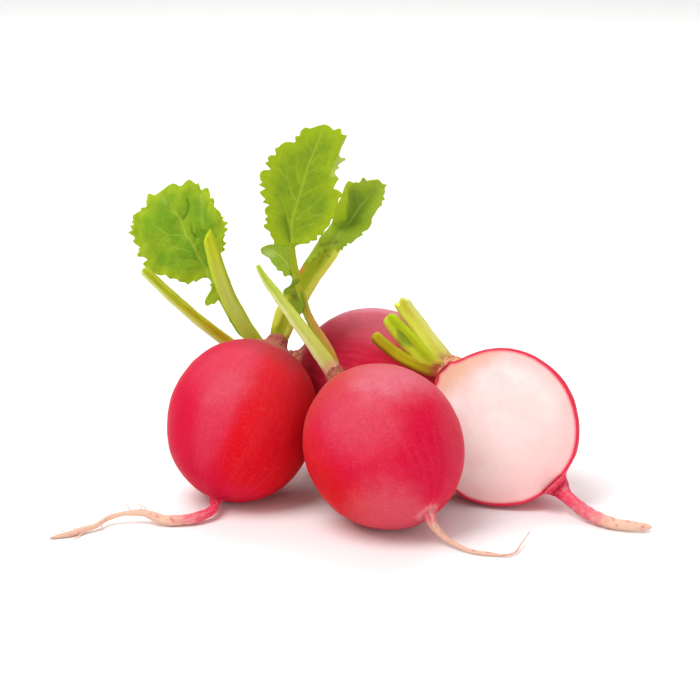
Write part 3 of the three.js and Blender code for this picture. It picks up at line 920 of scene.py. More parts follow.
def flesh_finish():
    """Cut flesh: moist and nearly white, pinker at the skin and towards the taproot, tan at the
    crown, with a thin red rim."""
    finish = Finish("radish_flesh")
    place = finish.place()
    depth = finish.own("depth", "Fac")
    _, _, along = finish.follow_growth()
    grain = finish.mottle(place, 0.15, 5, 0.62)
    colour = finish.blend(grain.rise(0.3, 0.66), (0.86, 0.675, 0.645), (0.87, 0.785, 0.755))
    fine = finish.mottle(place, 2.4, 4, 0.65)
    colour = finish.blend(fine.rise(0.5, 0.75) * 0.45, colour, (0.86, 0.64, 0.60))
    wandering = depth + 1.0 * (finish.mottle(place, 0.4, 4) - 0.5)
    colour = finish.blend(wandering.rise(4.6, 0.8) * 0.55, colour, (0.83, 0.47, 0.44))
    towards_root = (along + 7 * (grain - 0.5)).rise(15, 30) * 0.72
    colour = finish.blend(towards_root, colour, (0.86, 0.50, 0.485))
    crown_end = (along + 4 * (grain - 0.5)).rise(8.5, 2.0)
    colour = finish.blend(crown_end * 0.75, colour, (0.80, 0.46, 0.28))
    line = depth + 0.25 * (fine - 0.5) + 0.5 * (finish.mottle(place, 0.12, 4) - 0.5)
    colour = finish.blend(line.rise(1.0, 0.5) * 0.8, colour, (0.80, 0.17, 0.22))
    colour = finish.blend(line.rise(0.52, 0.38), colour, (0.66, 0.012, 0.05))
    relief = fine * 0.6 + grain * 0.6
    return finish.done(
        bump=relief, bump_size=0.12, Base_Color=colour, Roughness=0.36 + 0.2 * fine,
        Specular_IOR_Level=0.4, Subsurface_Weight=0.35, Subsurface_Radius=(1.0, 0.55, 0.45),
        Subsurface_Scale=2.0 * MM)


def stalk_finish(name, length, low, middle, high, left, right, foot=(0.56, 0.36, 0.17),
                 foot_length=2.0, blush=0.0, marks=()):
    """A stalk: its colours low, in the middle and high up, those along both sides, long fibres, and a
    tan foot. The blush is how reddish its lower half is. Each mark is its place across (-1 to 1) and
    along, its reach across and along, and its colour."""
    finish = Finish(name)
    cosine, sine, along = finish.follow_growth()
    facing = cosine.rise(-0.4, 0.0)
    colour = finish.blend(along.rise(length * 0.1, length * 0.55), low, middle)
    colour = finish.blend(along.rise(length * 0.55, length), colour, high)
    fibres = finish.mottle(finish.grown(5, 0.06), 1.5, 5, 0.7)
    colour = finish.blend((0 - sine + 0.5 * (fibres - 0.5)).rise(0.4, 0.95) * 0.8, colour, left)
    colour = finish.blend((sine + 0.5 * (fibres - 0.5)).rise(0.4, 0.95) * 0.8, colour, right)
    colour = finish.blend(fibres.rise(0.5, 0.72) * 0.35, colour, between(left, right, 0.53, 0.015))
    colour = finish.blend(fibres.rise(0.48, 0.3) * 0.28, colour, scaled(middle, 0.66))
    blotches = finish.mottle(finish.grown(1.5, 0.35), 1.0, 5, 0.7)
    colour = finish.blend(blotches.rise(0.55, 0.75) * 0.22, colour, scaled(low, 0.7))
    if blush:
        reddish = blotches.rise(0.42, 0.62) * along.rise(length * 0.6, length * 0.25) * blush
        colour = finish.blend(reddish, colour, (0.50, 0.17, 0.075))
    base = along + 1.6 * (blotches - 0.5) + 0.8 * (fibres - 0.5)
    colour = finish.blend(base.rise(foot_length + 1.0, foot_length - 0.4), colour, foot)
    specks = finish.cells(finish.grown(2, 0.7), 2.0).rise(0.12, 0.05)
    colour = finish.blend(specks * 0.35, colour, (0.30, 0.26, 0.02))
    for *where, mark in marks:
        off = finish.oval(*where) + 0.9 * (blotches - 0.5) + 0.8 * (fibres - 0.5)
        colour = finish.blend(off.rise(1.1, 0.4) * facing * 0.85, colour, mark)
    relief = fibres * 1.1 + blotches * 0.3
    return finish.done(
        bump=relief, bump_size=0.12, Base_Color=colour, Roughness=0.42 + 0.16 * fibres,
        Specular_IOR_Level=0.09, Subsurface_Weight=0.15, Subsurface_Radius=(0.7, 0.8, 0.1),
        Subsurface_Scale=1.0 * MM)


def leaf_finish(name, blade, margin, shade, vein, light, dark):
    """A young leaf: paler veins, a net of small ones between them, a lighter margin, and lighter and
    darker patches where the blade is folded, partly painted highlight on folds and painted shade in
    creases and hollows, partly the blade's own tints."""
    finish = Finish(name)
    place = finish.own("blade")
    veins = finish.own("vein", "Fac")
    edge = finish.own("inside", "Fac")
    patch = finish.own("patch", "Fac")
    broad = finish.mottle(place, 0.22, 4, 0.6)
    colour = finish.blend(broad.rise(0.35, 0.68), blade, between(blade, margin))
    colour = finish.blend(finish.mottle(place, 0.6, 4, 0.65).rise(0.45, 0.75) * 0.4, colour, shade)
    colour = finish.blend((edge + 1.4 * (broad - 0.5)).rise(2.8, 0.3) * 0.75, colour, margin)
    fleck = finish.mottle(place, 2.0, 5, 0.75)
    colour = finish.blend(fleck.rise(0.52, 0.72) * 0.22, colour, light)
    colour = finish.blend(fleck.rise(0.48, 0.3) * 0.5, colour, shade)
    net = finish.cells(place, 1.25, "DISTANCE_TO_EDGE").rise(0.09, 0.0)
    fine_net = finish.cells(place, 3.0, "DISTANCE_TO_EDGE").rise(0.12, 0.0)
    colour = finish.blend(net * 0.14, colour, vein)
    colour = finish.blend(fine_net * 0.07, colour, vein)
    # The patches: painted highlight on folds and painted shade in creases and hollows, with some of the
    # blade's own tints.
    uneven = patch * (0.75 + 0.5 * fleck)
    colour = finish.blend(uneven.rise(0.05, 1.0) * 0.85, colour, light)
    colour = finish.blend((0 - uneven).rise(0.05, 1.0) * 0.85, colour, dark)
    colour = finish.blend(veins * 0.8, colour, vein)
    relief = 0.5 * broad + fleck * 0.35 - net * 0.25 - fine_net * 0.12
    return finish.done(
        bump=relief, bump_size=0.15, Base_Color=colour, Roughness=0.5 + 0.12 * broad,
        Specular_IOR_Level=0.08, Subsurface_Weight=0.15, Subsurface_Radius=(0.35, 0.7, 0.05),
        Subsurface_Scale=0.6 * MM)


# ---------------------------------------------------------------- making the radishes

SKINS = {
    # The left radish: its dark shoulder is painted shade on its top, and its dust patches are a painted
    # highlight band.
    "radish_left": dict(
        magenta=6.0, cream=12.0, upper_dust_and_sheen=0.06, shoulder_colour_and_shade=(0.38, 0.045, 0.05), shoulder_and_shade_reach=5.5,
        bark_and_shade=(0.50, 0.12, 0.12), warm=(-1, 0.2),
        dust_and_highlight_patches=[(0.45, 10.5, 0.7, 11.0, 0.14), (0.32, 19.0, 0.4, 15.0, 0.12)]),
    # The front radish: its dust patches are painted sheen at the top and the right rim, a painted highlight
    # band and painted light on its shaded lower side.
    "radish_front": dict(
        magenta=-0.5, cream=2.0, upper_dust_and_sheen=0.08, shoulder_colour_and_shade=(0.56, 0.078, 0.06), shoulder_and_shade_reach=11.0,
        bark_and_shade=(0.42, 0.11, 0.09), root_start=0.3, pale_foot=0.6, warm=(1, 0.9),
        dust_and_highlight_patches=[(-0.75, 9.5, 1.0, 14.0, 0.56), (0.0, 17.5, 0.75, 13.0, 0.20), (0.85, 34.0, 1.4, 11.0, 0.30),
               (-1.0, 26.0, 0.35, 13.0, 0.12)]),
    # The back radish: its nearly black shoulder and dark bark are painted shade between the bulbs, and its
    # dust patches are a painted highlight along its top rim.
    "radish_back": dict(
        magenta=4.6, cream=11.6, upper_dust_and_sheen=0.04, shoulder_colour_and_shade=(0.10, 0.005, 0.007), shoulder_and_shade_reach=12.5,
        bark_and_shade=(0.24, 0.05, 0.045), tone=1.04, bands=0.6,
        dust_and_highlight_patches=[(-1.0, 16.0, 0.75, 16.0, 0.50), (-1.02, 18.0, 0.12, 26.0, 0.9)]),
    "radish_half": dict(magenta=2.6, cream=13.6, upper_dust_and_sheen=0.1, shoulder_colour_and_shade=(0.50, 0.10, 0.05), shoulder_and_shade_reach=1.2,
                        bark_and_shade=(0.82, 0.40, 0.23), root_start=3.4, tan=(0.74, 0.52, 0.20)),
}


def radish(name, lumps):
    """One radish with its collar, taproot and rootlets, in its finish."""
    piece = bulb(name)
    rounded(piece)
    collar_ridges(piece, name)
    press_out(piece, lumps, 0.5)
    settle(piece)
    rootlets = [rootlet(*facts) for facts in ROOTLETS.get(name, [])]
    if rootlets:
        join_into(piece, rootlets)
    if name == CUT_RADISH:
        halve(piece)
    material, slot = skin_finish(name, **SKINS[name]), "radish_skin"
    if name == CUT_RADISH:
        piece.data.materials.append(material)
        piece.data.materials.append(flesh_finish())
        fill_with_flesh(piece)
        material, slot = None, "radish_flesh_and_skin"
    top, centre, trail = radish_line(name)
    ball = (centre, (RADISHES[name]["radius"] * RADISHES[name]["tall"] + 1.0) * MM)
    mark_growth(piece, [top, centre] + trail, TOWARDS_CAMERA, ball)
    finished(piece, material, name)


broad_lumps = clouds("lumps", 9)
for radish_name in RADISHES:
    radish(radish_name, broad_lumps)


# ---------------------------------------------------------------- stalks

# The widths are radii at even spaces from the foot to the end. flat is how thick a stalk is for its
# width, and channel how deep its groove is. It ends in one of the ways that cut_end knows.
STALKS = {
    "left_leaf_stalk": dict(
        on="radish_left", widths=[1.6, 2.1, 2.35, 2.38, 2.35, 2.25, 2.2, 2.3, 2.4, 2.3],
        flat=0.7, channel=0.3, end="open",
        path=[(-19.5, 20.9, 29.6), (-19.1, 21.3, 31.0), (-18.0, 21.8, 34.0), (-16.9, 22.1, 36.1),
              (-15.3, 22.5, 38.7), (-13.6, 23.1, 41.4), (-12.1, 23.5, 43.5), (-10.6, 24.0, 45.7),
              (-9.4, 24.3, 47.4)]),
    "front_cut_stalk": dict(
        on="radish_front", widths=[1.6, 1.5, 1.4, 1.3, 1.24, 1.15, 1.05, 0.98, 0.78, 0.45],
        flat=0.8, channel=0.35, end="round",
        path=[(-9.9, 11.4, 26.6), (-11.4, 11.2, 29.0), (-12.8, 10.8, 31.1), (-14.5, 10.2, 33.8),
              (-16.3, 9.6, 36.5), (-18.2, 8.9, 39.4), (-19.9, 8.2, 42.1), (-21.7, 7.2, 44.9),
              (-22.8, 6.6, 47.2)]),
    "front_leaf_stalk": dict(
        on="radish_front", widths=[1.1, 0.95, 0.86, 0.84, 0.8, 0.78, 0.76, 0.72, 0.66],
        flat=0.85, channel=0.3, end="open",
        path=[(-9.3, 12.6, 27.2), (-9.7, 13.0, 28.9), (-10.8, 13.6, 30.7), (-12.2, 14.0, 32.7),
              (-13.4, 14.2, 34.7), (-14.2, 14.4, 36.3), (-14.7, 14.5, 38.2), (-15.4, 14.6, 40.4),
              (-16.0, 14.7, 42.7), (-16.5, 14.8, 45.2), (-16.8, 14.9, 47.4), (-16.9, 15.0, 49.3)]),
    "back_long_cut_stalk": dict(
        on="radish_back", widths=[1.35, 1.3, 1.26, 1.22, 1.18, 1.14, 1.1, 1.0], flat=0.85, channel=0.3,
        end="round",
        path=[(-24.8, 31.8, 21.4), (-28.4, 31.9, 24.0), (-31.2, 31.9, 26.1), (-33.2, 31.7, 27.8),
              (-34.9, 31.5, 29.3), (-36.6, 31.3, 30.8), (-38.2, 31.0, 32.4), (-39.8, 30.7, 34.0),
              (-41.4, 30.3, 35.7), (-43.0, 30.0, 37.4), (-44.6, 29.7, 39.2), (-45.6, 29.5, 40.2)]),
    "back_pointed_cut_stalk": dict(
        on="radish_back", widths=[1.7, 1.68, 1.6, 1.55, 1.6, 1.65, 1.65, 1.6, 1.5, 1.4, 1.2], flat=0.8,
        channel=0.3, end="slant",
        path=[(-20.5, 33.6, 22.0), (-23.4, 33.6, 23.1), (-25.3, 33.7, 25.7), (-27.0, 33.8, 28.3),
              (-28.4, 34.0, 30.8), (-29.7, 34.0, 33.2), (-30.6, 33.9, 35.6), (-31.4, 33.7, 38.0),
              (-32.0, 33.5, 40.2), (-32.6, 33.2, 42.7), (-33.2, 32.8, 45.0), (-33.6, 32.5, 47.0)]),
    "back_leaf_stalk": dict(
        on="radish_back", widths=[1.1, 0.85, 0.72, 0.66, 0.6],
        flat=0.85, channel=0.25, end="open",
        path=[(-22.6, 36.6, 22.8), (-27.3, 37.0, 25.4), (-29.5, 37.6, 28.7), (-31.4, 38.0, 32.1),
              (-33.3, 38.0, 35.6)]),
    "half_upper_stub": dict(
        on="radish_half", widths=[2.2, 2.15, 2.05, 1.95, 1.85, 1.75, 1.65, 1.6], flat=0.7, channel=0.3,
        end="notch",
        path=[(11.8, 20.4, 24.6), (11.3, 20.5, 25.4), (10.3, 20.6, 26.8), (9.2, 20.6, 28.3),
              (8.0, 20.5, 30.0), (7.1, 20.3, 31.7), (6.0, 20.1, 33.2), (4.8, 19.8, 35.0),
              (3.6, 19.6, 36.9)]),
    "half_middle_stub": dict(
        on="radish_half", widths=[1.6, 1.7, 1.8, 1.85, 1.87, 1.85, 1.78, 1.6], flat=0.66, channel=0.5,
        end="round",
        path=[(10.2, 17.6, 24.8), (8.5, 17.2, 25.9), (7.1, 17.0, 27.5), (5.8, 16.9, 29.0), (4.7, 16.8, 30.3),
              (3.5, 16.7, 31.6), (2.3, 16.6, 33.1), (1.5, 16.4, 34.2)]),
    "half_lower_stub": dict(
        on="radish_half", widths=[1.35, 1.32, 1.3, 1.28, 1.27, 1.25, 1.22, 1.15], flat=0.9, channel=0.25,
        end="round",
        path=[(10.2, 17.2, 24.0), (8.6, 17.0, 24.4), (7.1, 16.7, 25.1), (5.5, 16.4, 25.9), (3.8, 16.1, 26.9),
              (2.3, 15.9, 27.9), (0.9, 15.7, 29.2), (-0.4, 15.5, 30.4), (-1.2, 15.4, 31.2)]),
}
STALK_FACING = Vector((0, -1, 0.3)).normalized()
STALK_SIDES = 16
STALK_STEP = 1.6 * MM
STALK_DEPTH = 1.3 * MM      # how deep in the crown a stalk starts
SLANT = math.radians(48)
# The groove is pressed in twice: within these angles of its middle, by these shares of its depth.
GROOVE = ((0.3, 0.6), (0.66, 0.4))


def width_at(widths, share):
    """The radius at a share of the stalk's length, in millimetres."""
    place = share * (len(widths) - 1)
    k = min(int(place), len(widths) - 2)
    return widths[k] + (widths[k + 1] - widths[k]) * (place - k)


def side_and_across(direction):
    """The two directions of a stalk's section: towards the viewer, and over to its side."""
    side = (STALK_FACING - direction * STALK_FACING.dot(direction)).normalized()
    return side, direction.cross(side)


def cut_end(end, tip, heading, radius):
    """Shapes the selected cap at the tip: open, cut on the slant, worn round or torn with a notch."""
    side, across = side_and_across(heading)
    if end == "open":
        bpy.ops.mesh.inset(thickness=radius * 0.2)
    elif end == "slant":
        turn(Matrix.Rotation(SLANT, 3, side).to_quaternion(), tip)
        bpy.ops.mesh.inset(thickness=radius * 0.15)
    elif end == "round":
        for step, shrink in ((0.35, 0.86), (0.22, 0.72), (0.1, 0.5)):
            tip = tip + heading * step * radius
            bpy.ops.mesh.extrude_region_move(TRANSFORM_OT_translate={"value": heading * step * radius})
            bpy.ops.transform.resize(value=(shrink,) * 3, center_override=tip)
    elif end == "notch":
        bpy.ops.mesh.extrude_region_move(TRANSFORM_OT_translate={"value": heading * 0.3 * MM})
        bpy.ops.mesh.inset(thickness=radius * 0.2)
        for low, high, move in ((-0.55, -0.15, -0.45), (0.05, 0.6, 0.3), (0.6, 1.2, -0.7)):
            choose(lambda place: (place - tip).dot(heading) > -0.6 * MM
                   and low * radius < (place - tip).dot(across) < high * radius)
            bpy.ops.transform.translate(value=heading * move * MM)


def stalk(name, on, widths, flat, channel, end, path, lumps):
    """A stalk: a grooved section carried along its middle line, out of the heart of its crown. Gives
    the piece and its length in millimetres."""
    crown = Vector(RADISHES[on]["crown"]).normalized()
    heart = at(path[0]).lerp(crown_top(on), 0.5) - crown * STALK_DEPTH
    line = smooth_line([heart] + [at(p) for p in path])
    length = sum((q - p).length for p, q in zip(line, line[1:]))
    stations = stations_on(line, max(10, round(length / STALK_STEP)))
    _, point, direction = stations[0]
    side, across = side_and_across(direction)
    thick = width_at(widths, 0) * MM

    nothing_selected()
    bpy.ops.mesh.primitive_circle_add(vertices=STALK_SIDES, radius=thick, fill_type="NGON")
    piece = bpy.context.object
    basis = Matrix((side, across, direction)).transposed().to_4x4()
    piece.matrix_world = Matrix.Translation(point) @ basis @ Matrix.Diagonal((flat, 1, 1, 1))
    start("grown_" + name)
    for reach, share in GROOVE:
        choose(lambda place: (place - point).normalized().angle(side) < reach)
        bpy.ops.transform.translate(value=-side * channel * share * thick)
    bpy.ops.mesh.select_all(action="SELECT")
    extrude_along([(p, d, width_at(widths, s) * MM) for s, p, d in stations[1:]], point, direction, thick)
    _, tip, heading = stations[-1]
    cut_end(end, tip, heading, widths[-1] * MM)
    bpy.ops.object.mode_set(mode="OBJECT")
    rounded(piece)
    press_out(piece, lumps, 0.22)
    mark_growth(piece, line, STALK_FACING)
    return piece, length / MM


# left and right are as a stalk that grows upwards is seen.
STALK_FINISHES = {
    "left_leaf_stalk": dict(
        low=(0.32, 0.36, 0.014), middle=(0.31, 0.36, 0.010), high=(0.29, 0.38, 0.010),
        left=(0.27, 0.36, 0.012), right=(0.78, 0.76, 0.12), foot=(0.46, 0.34, 0.05), foot_length=1.5,
        marks=[(-0.9, 5.5, 0.4, 3.5, (0.60, 0.60, 0.06)), (-1.0, 14.6, 0.24, 2.0, (0.52, 0.19, 0.02)),
               (-0.62, 18.2, 0.08, 0.25, (0.72, 0.50, 0.40)), (-0.75, 17.4, 0.06, 1.1, (0.14, 0.20, 0.02)),
               (-0.9, 12.6, 0.2, 0.7, (0.12, 0.19, 0.02)), (-0.15, 19.9, 0.34, 0.4, (0.17, 0.24, 0.02)),
               (-0.9, 18.5, 0.4, 4.0, (0.24, 0.33, 0.013)),
               (0.1, 17.6, 0.12, 0.35, (0.16, 0.24, 0.02)), (0.55, 19.4, 0.2, 0.3, (0.18, 0.26, 0.02))]),
    "front_cut_stalk": dict(
        low=(0.64, 0.68, 0.16), middle=(0.56, 0.64, 0.12), high=(0.42, 0.54, 0.032),
        left=(0.78, 0.83, 0.44), right=(0.60, 0.69, 0.09), foot=(0.70, 0.43, 0.22), foot_length=2.4),
    "front_leaf_stalk": dict(
        low=(0.56, 0.34, 0.05), middle=(0.36, 0.37, 0.018), high=(0.28, 0.37, 0.011),
        left=(0.34, 0.40, 0.025), right=(0.38, 0.38, 0.02), foot=(0.56, 0.32, 0.10), foot_length=2.2,
        marks=[(0.5, 7.5, 1.0, 6.5, (0.56, 0.29, 0.07)), (0.2, 14.5, 0.5, 3.0, (0.42, 0.27, 0.03))]),
    "back_long_cut_stalk": dict(
        low=(0.50, 0.43, 0.006), middle=(0.46, 0.49, 0.018), high=(0.38, 0.46, 0.007),
        left=(0.76, 0.79, 0.34), right=(0.56, 0.62, 0.05), foot=(0.44, 0.34, 0.01), blush=0.3,
        marks=[(0.35, 13.5, 0.5, 5.0, (0.50, 0.34, 0.010)), (0.3, 20.0, 0.4, 3.0, (0.44, 0.36, 0.010))]),
    "back_pointed_cut_stalk": dict(
        low=(0.36, 0.40, 0.004), middle=(0.60, 0.70, 0.14), high=(0.58, 0.66, 0.014),
        left=(0.52, 0.62, 0.03), right=(0.46, 0.56, 0.02), foot=(0.31, 0.26, 0.004), foot_length=6.0),
    "back_leaf_stalk": dict(
        low=(0.24, 0.34, 0.010), middle=(0.22, 0.34, 0.010), high=(0.24, 0.40, 0.012),
        left=(0.34, 0.48, 0.03), right=(0.24, 0.36, 0.01)),
    "half_upper_stub": dict(
        low=(0.70, 0.70, 0.08), middle=(0.80, 0.80, 0.11), high=(0.60, 0.59, 0.04),
        left=(0.84, 0.86, 0.10), right=(0.70, 0.73, 0.25), foot=(0.72, 0.54, 0.18), foot_length=3.2),
    "half_middle_stub": dict(
        low=(0.46, 0.44, 0.02), middle=(0.41, 0.55, 0.008), high=(0.40, 0.53, 0.008),
        left=(0.62, 0.62, 0.05), right=(0.48, 0.62, 0.015), foot=(0.58, 0.50, 0.07), foot_length=3.0,
        marks=[(-0.25, 10.6, 0.8, 2.6, (0.20, 0.28, 0.016)), (0.2, 8.0, 0.4, 0.6, (0.55, 0.33, 0.05))]),
    "half_lower_stub": dict(
        low=(0.30, 0.16, 0.007), middle=(0.48, 0.42, 0.007), high=(0.43, 0.35, 0.008),
        left=(0.32, 0.17, 0.008), right=(0.50, 0.46, 0.02), foot=(0.36, 0.08, 0.03), foot_length=2.6),
}

fine_lumps = clouds("fine_lumps", 2.2)
for stalk_name, facts in STALKS.items():
    piece, long = stalk(stalk_name, lumps=fine_lumps, **facts)
    material = stalk_finish(stalk_name, long, **STALK_FINISHES[stalk_name])
    finished(piece, material, stalk_name)


# ---------------------------------------------------------------- leaf blades
# Each blade is laid out flat, in millimetres right of and above its foot. The spacing is that of its
# triangles.

LEAF_THICKNESS = 0.26 * MM
CORNER_CUT = 0.12           # the share of each side that is cut off at each of its corners
VEIN_STEP = 0.25            # between points along a vein
VEIN_SIDE = 0.16            # from a vein to the points beside it
VEIN_CLEARANCE = 0.11       # points on veins stay this far apart,
GRID_CLEARANCE = 0.18       # and the grid's points this far from them

